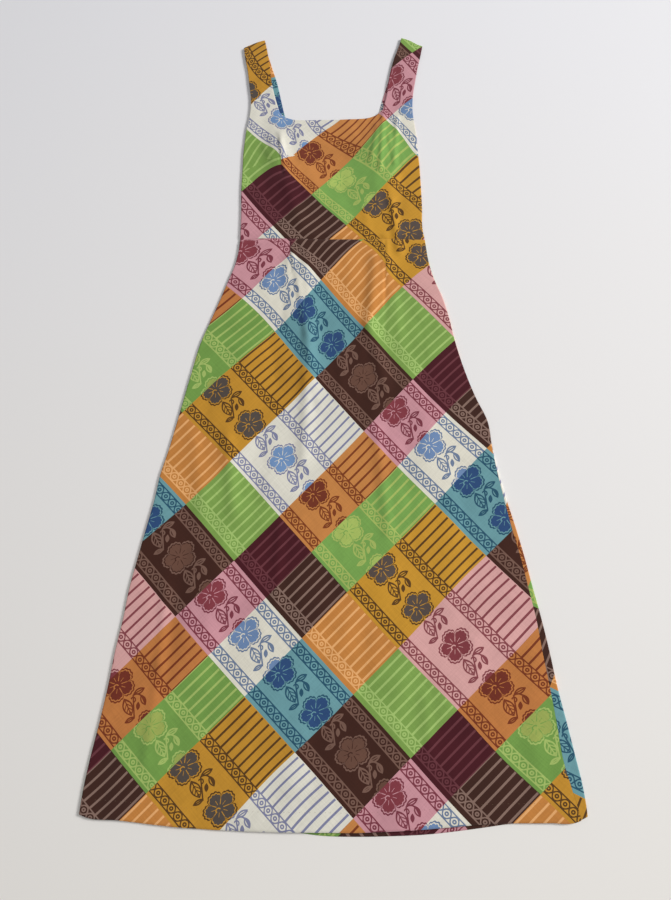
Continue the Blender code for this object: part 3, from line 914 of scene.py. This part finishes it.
def add_node(
    tree: bpy.types.NodeTree, kind: str, values: dict | None = None, **settings: object
) -> bpy.types.Node:
    """Add a node with its settings, input values and links.

    Args:
        tree: The node tree.
        kind: The node's type name.
        values: For each input, by name or number, a value, a socket or a Wire.
        **settings: Properties of the node.

    Returns:
        The node.
    """
    node = tree.nodes.new(kind)
    for name, value in settings.items():
        setattr(node, name, value)
    for key, value in (values or {}).items():
        source = value.socket if isinstance(value, Wire) else value
        if isinstance(source, bpy.types.NodeSocket):
            tree.links.new(source, node.inputs[key])
        else:
            node.inputs[key].default_value = source
    return node


def new_tree(name: str) -> tuple[bpy.types.Material, bpy.types.NodeTree]:
    """Return a new material and its emptied node tree."""
    material = bpy.data.materials.new(name)
    material.use_nodes = True
    material.node_tree.nodes.clear()
    return material, material.node_tree


def blend(tree: bpy.types.NodeTree, share: object, first: object, second: object) -> bpy.types.NodeSocket:
    """Return the blend of two colours, which is the second where the share is 1."""
    values = {0: share, 6: first, 7: second}
    return add_node(tree, "ShaderNodeMix", values, data_type="RGBA").outputs[2]


def add_surface(tree: bpy.types.NodeTree, values: dict) -> None:
    """End a material in one surface with the given inputs."""
    surface = add_node(tree, "ShaderNodeBsdfPrincipled", values)
    add_node(tree, "ShaderNodeOutputMaterial", {0: surface.outputs[0]})


class Wire:
    """One number that runs through a node tree, with the arithmetic of a formula."""

    def __init__(self, tree: bpy.types.NodeTree, socket: bpy.types.NodeSocket) -> None:
        """Hold the tree and the socket that the number comes from."""
        self.tree = tree
        self.socket = socket

    def to(self, operation: str, *others: Wire | float) -> Wire:
        """Return the result of one operation on this number and others."""
        node = add_node(self.tree, "ShaderNodeMath", dict(enumerate((self, *others))), operation=operation)
        return Wire(self.tree, node.outputs[0])

    def __add__(self, other: Wire | float) -> Wire:
        """Return the sum."""
        return self.to("ADD", other)

    def __sub__(self, other: Wire | float) -> Wire:
        """Return the difference."""
        return self.to("SUBTRACT", other)

    def __mul__(self, other: Wire | float) -> Wire:
        """Return the product."""
        return self.to("MULTIPLY", other)

    def __truediv__(self, other: Wire | float) -> Wire:
        """Return the quotient."""
        return self.to("DIVIDE", other)

    def __neg__(self) -> Wire:
        """Return the number with its sign changed."""
        return self.to("MULTIPLY", -1.0)

    def __abs__(self) -> Wire:
        """Return the size of the number."""
        return self.to("ABSOLUTE")

    def __invert__(self) -> Wire:
        """Return 1 where the mark is 0."""
        return self.to("LESS_THAN", 0.5)

    def __gt__(self, other: Wire | float) -> Wire:
        """Return 1 where the number is greater, else 0."""
        return self.to("GREATER_THAN", other)

    def __lt__(self, other: Wire | float) -> Wire:
        """Return 1 where the number is less, else 0."""
        return self.to("LESS_THAN", other)

    def __and__(self, other: Wire) -> Wire:
        """Return 1 where both marks are 1."""
        return self.to("MULTIPLY", other)

    def __or__(self, other: Wire) -> Wire:
        """Return 1 where either mark is 1."""
        return self.to("MAXIMUM", other)


class Check(NamedTuple):
    """Colours of one kind of check: its ground, its woven lines and its flower."""

    ground: str
    line: str
    flower: str


def centred(place: Wire, pitch: float) -> Wire:
    """Return how far a place is from the middle of its own repeat."""
    return ((place / pitch + 0.5).to("FRACT") - 0.5) * pitch


def distance(x: Wire, up: Wire, middle: tuple[float, float] = (0.0, 0.0)) -> Wire:
    """Return how far a place is from a middle."""
    aside, above = x - middle[0], up - middle[1]
    return (aside * aside + above * above).to("SQRT")


NO_LIMIT = 999.0


class Arc(NamedTuple):
    """A drawn piece of a ring, left of one line and above another, in millimetres."""

    x: float
    y: float
    radius: float
    half_width: float
    left_of: float
    above: float

    def mark(self, x: Wire, up: Wire) -> Wire:
        """Return 1 on the arc, else 0."""
        aside = abs(distance(x, up, (self.x, self.y)) - self.radius)
        return (aside < self.half_width) & (x < self.left_of) & (up > self.above)


@dataclass(frozen=True)
class FlowerMotif:
    """A flower with five scalloped petals, by angle and distance, in millimetres."""

    squash: float = 0.86
    turn: float = 100.0
    petals: int = 5
    petal_power: float = 0.5
    petal_depth: float = 8.8
    scallops: int = 25
    scallop_depth: float = 1.5
    uneven_turn: float = 0.9
    uneven_depth: float = 1.1
    core: float = 16.6
    gap_half: float = 0.55
    gap_start: float = 5.5
    rib_half: float = 0.35
    rib_reach: tuple[float, float] = (6.0, 12.5)
    rib_petal: float = 0.5
    fill_gap: float = 1.7
    eye: Arc = Arc(1.0, -3.5, 3.4, 0.8, 1.5, -NO_LIMIT)

    def marks(self, x: Wire, up: Wire, line: float) -> tuple[Wire, Wire]:
        """Return the marks of the outline and of the filled petals.

        Args:
            x: Place across, from the flower's middle.
            up: Place up, from the flower's middle.
            line: Width of the woven outline.

        Returns:
            The two marks, 1 where there is thread.
        """
        y = up * self.squash
        angle = y.to("ARCTAN2", x) - math.radians(self.turn)
        petal = abs((angle * (self.petals / 2)).to("COSINE"))
        scallop = abs((angle * (self.scallops / 2)).to("COSINE"))
        radius = distance(x, y)
        uneven = (angle + self.uneven_turn).to("COSINE") * self.uneven_depth
        rim = petal.to("POWER", self.petal_power) * self.petal_depth + scallop * self.scallop_depth + uneven
        edge = rim + self.core - radius
        outline = (edge > 0.0) & (edge < line)
        beside_gap = petal * radius * (2 / self.petals)
        gap = (beside_gap < self.gap_half) & (radius > self.gap_start) & (edge > self.gap_start)
        beside_rib = abs((angle * float(self.petals)).to("SINE")) * radius * (1 / self.petals)
        ribbed = (radius > self.rib_reach[0]) & (radius < self.rib_reach[1]) & (petal > self.rib_petal)
        bare = gap | ((beside_rib < self.rib_half) & ribbed) | self.eye.mark(x, y)
        return outline, (edge > line + self.fill_gap) & ~bare


class Leaf(NamedTuple):
    """One leaf of the sprig, about the sprig's middle, in millimetres and degrees."""

    x: float
    y: float
    turn: float
    half_length: float
    half_width: float
    veined: bool
    filled: bool


@dataclass(frozen=True)
class SprigMotif:
    """Stem, two curls and five pointed leaves between two flowers, in millimetres."""

    stem_slope: float = 0.72
    stem_drop: float = 0.6
    stem_half: float = 1.5
    stem_middle: float = 1.3
    stem_reach: float = 15.0
    curls: tuple[Arc, ...] = (
        Arc(-2.5, 8.5, 10.3, 1.25, -2.0, 8.0), Arc(-7.7, 4.7, 3.8, 1.1, NO_LIMIT, 2.5),
    )
    leaves: tuple[Leaf, ...] = (
        Leaf(-11.5, 20.6, 76.0, 11.2, 4.8, False, False), Leaf(4.0, 17.3, -15.0, 9.4, 5.0, False, True),
        Leaf(-4.9, -9.4, -13.0, 15.2, 8.8, True, False), Leaf(5.2, 4.8, 136.0, 6.8, 3.4, False, True),
        Leaf(12.5, -19.2, 78.0, 9.8, 4.0, False, False),
    )
    midrib_half: float = 0.95
    vein_slope: float = 0.7
    vein_count: float = 2.2
    vein_share: float = 0.34
    fill_start: float = -0.12

    def leaf_mark(
        self, leaf: Leaf, point: bpy.types.NodeSocket, tree: bpy.types.NodeTree, line: float
    ) -> Wire:
        """Return the mark of one leaf: its outline and midrib, and its veins or its filled half."""
        size = (leaf.half_length, leaf.half_width, 1)
        values = {0: point, 1: (leaf.x, leaf.y, 0), 2: (0, 0, math.radians(leaf.turn)), 3: size}
        turned = add_node(tree, "ShaderNodeMapping", values, vector_type="TEXTURE")
        own = add_node(tree, "ShaderNodeSeparateXYZ", {0: turned.outputs[0]})
        u, v = Wire(tree, own.outputs[0]), Wire(tree, own.outputs[1])
        inside = (-(u * u) - abs(v) + 1.0) * leaf.half_width
        drawn = (inside < line) | (abs(v) < (self.midrib_half / leaf.half_width))
        if leaf.veined:
            drawn = drawn | (((u - abs(v) * self.vein_slope) * self.vein_count).to("FRACT") < self.vein_share)
        if leaf.filled:
            drawn = drawn | (v > self.fill_start)
        return drawn & (inside > 0.0)

    def mark(self, x: Wire, up: Wire, line: float) -> Wire:
        """Return the mark of stem, curls and leaves, 1 where there is thread."""
        point = add_node(x.tree, "ShaderNodeCombineXYZ", {0: x, 1: up}).outputs[0]
        aside = abs(x * self.stem_slope + up + self.stem_drop)
        mark = (aside < self.stem_half) & (abs(x - self.stem_middle) < self.stem_reach)
        for curl in self.curls:
            mark = mark | curl.mark(x, up)
        for leaf in self.leaves:
            mark = mark | self.leaf_mark(leaf, point, x.tree, line)
        return mark


# Four warp sections a repeat (mustard, white, orange and green in the wide
# flowered row), and four kinds of row: narrow flowered, striped, and the wide
# flowered row in its two colourings, which take turns.
CHECKS = (
    Check("#6999A0", "#164761", "#2A4A77"), Check("#3D1E14", "#77594D", "#664639"),
    Check("#C9919A", "#722637", "#823842"), Check("#DEDACB", "#5B7092", "#6D88B0"),
    Check("#C3803D", "#E9AE71", "#DDA15F"), Check("#7B9E4C", "#A3C16F", "#A0BA63"),
    Check("#45101A", "#68353C", "#693239"), Check("#3C2017", "#886E63", "#876455"),
    Check("#C08B2C", "#472C14", "#504741"), Check("#DCD9CC", "#72769A", "#7191BC"),
    Check("#C38144", "#722F11", "#71311D"), Check("#76A24F", "#A6B861", "#A7BD61"),
    Check("#C6912D", "#472C16", "#554943"), Check("#D4A19E", "#7A313B", "#7F383F"),
    Check("#BD783F", "#6F2A11", "#6E2C1C"), Check("#709847", "#A3BA67", "#98A754"),
)


@dataclass(frozen=True)
class CheckWeave:
    """Jacquard-woven cotton check, as a shader. Lengths are in millimetres.

    The finish is matt and slightly napped: light spreads evenly, with a faint
    soft edge where the cloth turns away, and the thread shows as fine slubs.
    Chains are given by the middle of a flowered row and their distance from
    it, and a noise by its scales along and up the cloth and its detail.
    """

    repeat: float = 427.3
    section_ends: tuple[float, float, float] = (121.8, 254.0, 338.0)
    row_repeat: float = 446.1
    row_ends: tuple[float, float] = (128.6, 233.5)
    narrow_chains: tuple[float, float] = (64.6, 48.8)
    striped_chain: float = 146.1
    wide_chains: tuple[float, float] = (302.7, 54.5)
    chain_half: float = 8.3
    chain_border: float = 2.1
    ring_pitch: float = 16.02
    ring_radius: float = 5.7
    eye_radius: float = 3.5
    pupil_radius: float = 1.2
    wave_height: float = 7.3
    wave_half: float = 1.35
    wave_swell: float = 0.1
    stripe_pitch: float = 14.24
    stripe_start: float = 2.9
    stripe_shift: float = 6.8
    stripe_width: float = 3.5
    striped_rows: tuple[tuple[float, float], tuple[float, float]] = ((154.7, 232.6), (366.2, 444.8))
    flower_pitch: float = 85.46
    flower_start: float = 12.8
    narrow_middle: float = 65.2
    wide_middle: float = 303.8
    sprig_shift: float = 42.7
    line: float = 2.4
    line_cover: float = 0.93
    flower: FlowerMotif = FlowerMotif()
    sprig: SprigMotif = SprigMotif()
    slub_tone: float = 0.16
    cloud_tone: float = 0.22
    slub_relief: float = 0.5
    thread_relief: float = 0.25
    thread_pitch: float = 3.0
    noises: tuple[tuple[float, float, float], ...] = (
        (0.5, 0.025, 1.0), (0.025, 0.5, 1.0), (0.016, 0.016, 2.0),
    )

    def build(self, name: str) -> bpy.types.Material:
        """Return the cloth's material.

        Args:
            name: Name of the new material.

        Returns:
            A material that reads the UV map "cloth".
        """
        material, tree = new_tree(name)
        along, up, check, fill, drawn = self.pattern(tree)
        petals = blend(tree, fill, self.colours(tree, check, "ground"), self.colours(tree, check, "flower"))
        woven = blend(tree, drawn * self.line_cover, petals, self.colours(tree, check, "line"))
        warp_slub, weft_slub, cloud = self.slubs(tree, along, up)
        shade = (warp_slub + weft_slub - 1.0) * self.slub_tone + (cloud - 0.5) * self.cloud_tone + 1.0
        colour = add_node(tree, "ShaderNodeVectorMath", {0: woven, 3: shade}, operation="SCALE").outputs[0]
        height = (warp_slub + weft_slub) * self.slub_relief + self.threads(along, up) * self.thread_relief
        bump = add_node(tree, "ShaderNodeBump", {"Height": height, "Strength": 0.35, "Distance": 0.0003})
        add_surface(tree, {
            "Base Color": colour, "Roughness": 0.88, "IOR": 1.46, "Specular IOR Level": 0.25,
            "Sheen Weight": 0.12, "Sheen Roughness": 0.5, "Normal": bump.outputs[0],
        })
        return material

    def pattern(self, tree: bpy.types.NodeTree) -> tuple[Wire, Wire, Wire, Wire, Wire]:
        """Lay out the check.

        Args:
            tree: The node tree.

        Returns:
            The two places on the flat cloth in millimetres, the place of the
            check's colours in the table, and the marks of the filled petals
            and of the woven lines.
        """
        cloth_map = add_node(tree, "ShaderNodeUVMap", uv_map="cloth").outputs[0]
        cloth = add_node(tree, "ShaderNodeSeparateXYZ", {0: cloth_map})
        along, up = Wire(tree, cloth.outputs[0]) * (1 / MM), Wire(tree, cloth.outputs[1]) * (1 / MM)
        row = (up / self.row_repeat).to("FLOOR")
        in_row = up - row * self.row_repeat
        section = (along / self.repeat).to("FLOOR")
        in_section = along - section * self.repeat
        past = [in_section > end for end in self.section_ends]
        is_striped, is_wide = in_row > self.row_ends[0], in_row > self.row_ends[1]
        sections = len(past) + 1.0
        takes_turn = ((row + section) * 0.5).to("FRACT") > 0.25
        kind = past[0] + past[1] + past[2] + (is_striped + is_wide + (takes_turn & is_wide)) * sections
        check = (kind + 0.5) / float(len(CHECKS))
        lines = self.chain(in_row, along) | self.stripes(in_row, in_section, past[1])
        flowered = ~(is_striped - is_wide)
        flower_up = in_row - (is_wide * (self.wide_middle - self.narrow_middle) + self.narrow_middle)
        flower_x = centred(along - self.flower_start, self.flower_pitch)
        sprig_x = centred(along - self.flower_start + self.sprig_shift, self.flower_pitch)
        outline, fill = self.flower.marks(flower_x, flower_up, self.line)
        drawn = lines | ((outline | self.sprig.mark(sprig_x, flower_up, self.line)) & flowered)
        return along, up, check, fill & flowered, drawn

    def colours(self, tree: bpy.types.NodeTree, check: Wire, part: str) -> bpy.types.NodeSocket:
        node = add_node(tree, "ShaderNodeValToRGB", {0: check})
        ramp = node.color_ramp
        ramp.interpolation = "CONSTANT"
        while len(ramp.elements) < len(CHECKS):
            ramp.elements.new(len(ramp.elements) / (len(CHECKS) + 1))
        for number, element in enumerate(ramp.elements):
            element.position = number / len(CHECKS)
        for element, colours in zip(ramp.elements, CHECKS):
            element.color = linear(getattr(colours, part))
        return node.outputs[0]

    def chain(self, in_row: Wire, along: Wire) -> Wire:
        """Return the mark of the edging chains: ringed eyes between crossing waves."""
        narrow = abs(abs(in_row - self.narrow_chains[0]) - self.narrow_chains[1])
        wide = abs(abs(in_row - self.wide_chains[0]) - self.wide_chains[1])
        aside = narrow.to("MINIMUM", wide).to("MINIMUM", abs(in_row - self.striped_chain))
        place = abs(centred(along - self.ring_pitch / 2, self.ring_pitch))
        radius = distance(place, aside)
        eye = (radius < self.eye_radius) & (radius > self.pupil_radius)
        crest = (place * (math.pi / self.ring_pitch)).to("COSINE") * self.wave_height
        wave = abs(aside - crest) < (place * self.wave_swell + self.wave_half)
        border = abs(aside - self.chain_half) < self.chain_border / 2
        return border | eye | (wave & (radius > self.ring_radius) & (aside < self.chain_half))

    def stripes(self, in_row: Wire, in_section: Wire, late: Wire) -> Wire:
        """Return the mark of the stripes that run up the striped rows."""
        aside = abs(centred(in_section + late * self.stripe_shift - self.stripe_start, self.stripe_pitch))
        first, second = ((in_row > low) & (in_row < high) for low, high in self.striped_rows)
        return (aside < self.stripe_width / 2) & (first | second)

    def slubs(self, tree: bpy.types.NodeTree, along: Wire, up: Wire) -> list[Wire]:
        """Return uneven thick and thin places of warp and weft, and slow clouds of tone.

        Single threads of about 0.5 mm are too fine to show from the camera,
        so the slubs are drawn about 2 mm wide and 40 mm long.
        """
        made = []
        for scale_along, scale_up, detail in self.noises:
            place = add_node(tree, "ShaderNodeCombineXYZ", {0: along * scale_along, 1: up * scale_up})
            values = {"Vector": place.outputs[0], "Scale": 1.0, "Detail": detail}
            noise = add_node(tree, "ShaderNodeTexNoise", values, noise_dimensions="2D")
            made.append(Wire(tree, noise.outputs[0]))
        return made

    def threads(self, along: Wire, up: Wire) -> Wire:
        """Return the relief of the crossing threads.

        The cloth's own threads lie about 0.5 mm apart, too fine for the
        picture, so a rib stands for six of them.
        """
        turn = math.tau / self.thread_pitch
        return (along * turn).to("SINE") * (up * turn).to("SINE")


@dataclass(frozen=True)
class SewingThread:
    """Spun cotton sewing thread: matt, with the fine light and dark of its plies."""

    colour: str = "#8A7556"
    shaded: str = "#6A573F"
    ply: float = 0.7

    def build(self, name: str) -> bpy.types.Material:
        """Return the thread's material.

        Args:
            name: Name of the new material.

        Returns:
            A material that reads Object coordinates.
        """
        material, tree = new_tree(name)
        place = add_node(tree, "ShaderNodeTexCoord").outputs["Object"]
        plies = add_node(
            tree, "ShaderNodeTexNoise", {"Vector": place, "Scale": 1 / (self.ply * MM), "Detail": 1.0}
        ).outputs[0]
        tone = blend(tree, plies, linear(self.shaded), linear(self.colour))
        bump = add_node(tree, "ShaderNodeBump", {"Height": plies, "Strength": 0.4, "Distance": 0.0001})
        add_surface(
            tree, {"Base Color": tone, "Roughness": 0.8, "Sheen Weight": 0.2, "Normal": bump.outputs[0]}
        )
        return material


@dataclass(frozen=True)
class PaleFloor:
    """Matt painted board, nearly white with no grain. Its colour is painted a little warmer and darker
    towards the hem, as painted shade and warm tint standing in for how the room's light falls. Metres.
    """

    near_colour: str = "#EAE7E2"
    far_colour: str = "#E9E9ED"
    half_side: float = 4.0
    painted_shade_slope: float = 0.55
    tone_middle: float = 0.36
    cloud_tone: float = 0.25
    cloud_scale: float = 1.4

    def build(self) -> bpy.types.Object:
        """Return the floor under the dress."""
        material, tree = new_tree("matt_painted_board")
        place = add_node(tree, "ShaderNodeTexCoord").outputs["Object"]
        values = {"Vector": place, "Scale": self.cloud_scale, "Detail": 1.0}
        cloud = Wire(tree, add_node(tree, "ShaderNodeTexNoise", values).outputs[0])
        away = Wire(tree, add_node(tree, "ShaderNodeSeparateXYZ", {0: place}).outputs[1])
        # painted shade: the tone runs from a warmer, darker near colour to a cooler far one along the floor;
        # the noise adds random clouds of tone
        tone = away * self.painted_shade_slope + self.tone_middle + cloud * self.cloud_tone
        ramp = add_node(tree, "ShaderNodeValToRGB", {0: tone})
        for element, colour in zip(ramp.color_ramp.elements, (self.near_colour, self.far_colour)):
            element.color = linear(colour)
        add_surface(tree, {"Base Color": ramp.outputs[0], "Roughness": 0.9})
        half = self.half_side
        corners = [(-half, -half, 0), (half, -half, 0), (half, half, 0), (-half, half, 0)]
        mesh = bpy.data.meshes.new("floor")
        mesh.from_pydata(corners, [], [(0, 1, 2, 3)])
        mesh.materials.append(material)
        floor = bpy.data.objects.new("floor", mesh)
        bpy.context.scene.collection.objects.link(floor)
        return floor


class Lamp(NamedTuple):
    """One soft lamp: place and side in metres, power in watts, colour as sRGB hex."""

    name: str
    place: tuple[float, float, float]
    size: float
    power: float
    colour: str


@dataclass(frozen=True)
class Studio:
    """Camera and light of the picture. Lengths are in metres."""

    camera_place: tuple[float, float, float] = (0.04815, -0.36508, 1.140)
    picture_right: tuple[float, float, float] = (0.99939, 0.0, -0.0350)
    picture_up: tuple[float, float, float] = (0.00748, 0.97691, 0.2135)
    lens: float = 26.96
    sensor: float = 36.0
    lamps: tuple[Lamp, ...] = (
        Lamp("soft_window", (6.4, 2.24, 4.0), 2.0, 590.0, "#FFFEFD"),
        Lamp("ceiling_panel", (0.0, -0.8, 3.2), 2.2, 22.0, "#FFFBF5"),
    )
    room_colour: str = "#EEF0F4"
    room_strength: float = 0.31

    def add_camera(self) -> None:
        """Add the camera, tilted a little from straight down, and make it the scene's."""
        data = bpy.data.cameras.new("camera")
        data.lens, data.sensor_fit = self.lens, "VERTICAL"
        data.sensor_width = data.sensor_height = self.sensor
        camera = bpy.data.objects.new("camera", data)
        right = Vector(self.picture_right).normalized()
        away = right.cross(Vector(self.picture_up)).normalized()
        turn = Matrix((right, away.cross(right), away)).transposed()
        camera.matrix_world = Matrix.Translation(self.camera_place) @ turn.to_4x4()
        bpy.context.scene.collection.objects.link(camera)
        bpy.context.scene.camera = camera

    def add_lamp(self, lamp: Lamp) -> None:
        """Add one soft square lamp that faces the middle of the dress."""
        data = bpy.data.lights.new(lamp.name, "AREA")
        data.shape, data.size, data.energy = "SQUARE", lamp.size, lamp.power
        data.color = linear(lamp.colour)[:3]
        held = bpy.data.objects.new(lamp.name, data)
        held.location = lamp.place
        held.rotation_mode = "QUATERNION"
        held.rotation_quaternion = (-Vector(lamp.place)).to_track_quat("-Z", "Y")
        bpy.context.scene.collection.objects.link(held)

    def build(self) -> None:
        """Set the camera, the lamps and the even light of the room."""
        self.add_camera()
        for lamp in self.lamps:
            self.add_lamp(lamp)
        world = bpy.data.worlds.new("room")
        bpy.context.scene.world = world
        world.use_nodes = True
        room = world.node_tree.nodes["Background"]
        room.inputs[0].default_value = linear(self.room_colour)
        room.inputs[1].default_value = self.room_strength
        bpy.context.scene.view_settings.view_transform = "Standard"


# ---------------------------------------------------------------- sewing


@dataclass(frozen=True)
class HemStitches:
    """Blind stitches of the turned-up hem, set along a line by Geometry Nodes. Millimetres."""

    rise_rows: int = 7
    side_clear: int = 10
    proud: float = 0.05
    spacing: float = 8.0
    length: float = 2.0
    thickness: float = 0.36
    slant: float = 0.3
    seed: int = 7
    bead_segments: int = 8
    bead_rings: int = 6

    def line(self, sheet: Sheet, wall: ClothWall) -> np.ndarray:
        """Return the places of the stitched line, on the outside of the front skirt.

        Args:
            sheet: The middle of the front skirt, from the hem up.
            wall: Thickness of its cloth.

        Returns:
            Three numbers a place, in millimetres.
        """
        row = sheet.middle[self.rise_rows, self.side_clear:-self.side_clear]
        return row - OUTLINE_CENTRE + (0.0, 0.0, wall.thickness / 2 + self.proud)

    def tree(self) -> bpy.types.NodeTree:
        """Return the node tree that sets stitches along the edges of a mesh."""
        tree = bpy.data.node_groups.new("blind_stitches", "GeometryNodeTree")
        inputs = (
            ("Line", "NodeSocketGeometry"), ("Spacing", "NodeSocketFloat"), ("Length", "NodeSocketFloat"),
            ("Thickness", "NodeSocketFloat"), ("Slant", "NodeSocketFloat"), ("Seed", "NodeSocketInt"),
            ("Thread", "NodeSocketMaterial"),
        )
        for name, kind in inputs:
            tree.interface.new_socket(name=name, in_out="INPUT", socket_type=kind)
        tree.interface.new_socket(name="Stitches", in_out="OUTPUT", socket_type="NodeSocketGeometry")
        given = add_node(tree, "NodeGroupInput").outputs
        curve = add_node(tree, "GeometryNodeMeshToCurve", {0: given["Line"]}).outputs[0]
        places = add_node(
            tree, "GeometryNodeCurveToPoints", {"Curve": curve, "Length": given["Spacing"]}, mode="LENGTH"
        ).outputs
        stray = add_node(
            tree, "FunctionNodeRandomValue", {0: (-1.0, -1.0, 0.0), 1: (1.0, 1.0, 0.0), 8: given["Seed"]},
            data_type="FLOAT_VECTOR",
        ).outputs[0]
        lean = add_node(
            tree, "ShaderNodeVectorMath", {0: stray, 3: given["Slant"]}, operation="SCALE"
        ).outputs[0]
        way = add_node(
            tree, "ShaderNodeVectorMath", {0: places["Tangent"], 1: lean}, operation="ADD"
        ).outputs[0]
        turn = add_node(tree, "FunctionNodeAlignRotationToVector", {"Vector": way}, axis="X").outputs[0]
        bead = add_node(
            tree, "GeometryNodeMeshUVSphere",
            {"Segments": self.bead_segments, "Rings": self.bead_rings, "Radius": 0.5},
        ).outputs[0]
        size = add_node(
            tree, "ShaderNodeCombineXYZ", {0: given["Length"], 1: given["Thickness"], 2: given["Thickness"]}
        ).outputs[0]
        stitch = add_node(tree, "GeometryNodeTransform", {"Geometry": bead, "Scale": size}).outputs[0]
        placed = add_node(
            tree, "GeometryNodeInstanceOnPoints",
            {"Points": places["Points"], "Instance": stitch, "Rotation": turn},
        ).outputs[0]
        real = add_node(tree, "GeometryNodeRealizeInstances", {0: placed}).outputs[0]
        smooth = add_node(tree, "GeometryNodeSetShadeSmooth", {0: real}).outputs[0]
        dressed = add_node(
            tree, "GeometryNodeSetMaterial", {"Geometry": smooth, "Material": given["Thread"]}
        ).outputs[0]
        add_node(tree, "NodeGroupOutput", {"Stitches": dressed})
        return tree

    def build(self, name: str, line: np.ndarray, thread: bpy.types.Material) -> bpy.types.Object:
        """Sew a row of stitches.

        Args:
            name: Name of the new object.
            line: Places of the row, in millimetres.
            thread: Finish of the stitches.

        Returns:
            The stitches as one plain mesh, at the origin.
        """
        path = bpy.data.meshes.new(name + "_line")
        edges = [(number, number + 1) for number in range(len(line) - 1)]
        path.from_pydata((line * MM).tolist(), edges, [])
        sewn = bpy.data.objects.new(name, path)
        bpy.context.scene.collection.objects.link(sewn)
        modifier = sewn.modifiers.new("stitches", "NODES")
        modifier.node_group = self.tree()
        values = {
            "Spacing": self.spacing * MM, "Length": self.length * MM, "Thickness": self.thickness * MM,
            "Slant": self.slant, "Seed": self.seed, "Thread": thread,
        }
        for item in modifier.node_group.interface.items_tree:
            if item.name in values:
                modifier[item.identifier] = values[item.name]
        graph = bpy.context.evaluated_depsgraph_get()
        mesh = bpy.data.meshes.new_from_object(sewn.evaluated_get(graph))
        sewn.modifiers.remove(modifier)
        sewn.data = mesh
        bpy.data.meshes.remove(path)
        return sewn


# ---------------------------------------------------------------- the dress


class Cut(NamedTuple):
    """Flat size of a cut panel in metres, and its area in square metres."""

    width: float
    length: float
    area: float


@dataclass(frozen=True)
class Sundress:
    """The whole dress: four panels of one cloth on their solids."""

    bodice: Bodice = Bodice()
    skirt: Skirt = Skirt()
    wall: ClothWall = ClothWall()
    weave: CheckWeave = CheckWeave()
    thread: SewingThread = SewingThread()
    hem: HemStitches = HemStitches()
    cuts: tuple[tuple[str, Cut], ...] = (
        ("front_bodice", Cut(0.36, 0.45, 0.105)),
        ("back_bodice", Cut(0.36, 0.45, 0.103)),
        ("front_skirt", Cut(0.80, 1.01, 0.59)),
        ("back_skirt", Cut(0.83, 1.01, 0.60)),
    )

    def build(self) -> list[bpy.types.Object]:
        """Build the panels and bind each to the frame.

        Returns:
            The finished pieces.
        """
        material = self.weave.build("jacquard_woven_cotton_check")
        sheets = {
            "front_bodice": self.bodice.sheet(Layer.FRONT),
            "back_bodice": self.bodice.sheet(Layer.BACK),
            "front_skirt": self.skirt.front_sheet(),
            "back_skirt": self.skirt.back_sheet(),
        }
        stitches = self.hem.build(
            "front_hem_blind_stitches", self.hem.line(sheets["front_skirt"], self.wall),
            self.thread.build("cotton_sewing_thread"),
        )
        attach(stitches, "root")
        LOG.info("%s: %d faces", stitches.name, len(stitches.data.polygons))
        pieces = [stitches]
        for node, cut in self.cuts:
            piece = self.wall.build(node + "_cloth", sheets[node], material)
            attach(piece, "root")
            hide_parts(node)
            LOG.info("%s: %d faces", piece.name, len(piece.data.polygons))
            pieces.append(piece)
        return pieces


def main() -> None:
    """Load the frame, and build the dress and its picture."""
    logging.basicConfig(level=logging.INFO, format="%(name)s: %(message)s")
    for item in list(bpy.data.objects):
        bpy.data.objects.remove(item, do_unlink=True)
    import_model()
    PaleFloor().build()
    Studio().build()
    Sundress().build()


if __name__ == "__main__":
    main()
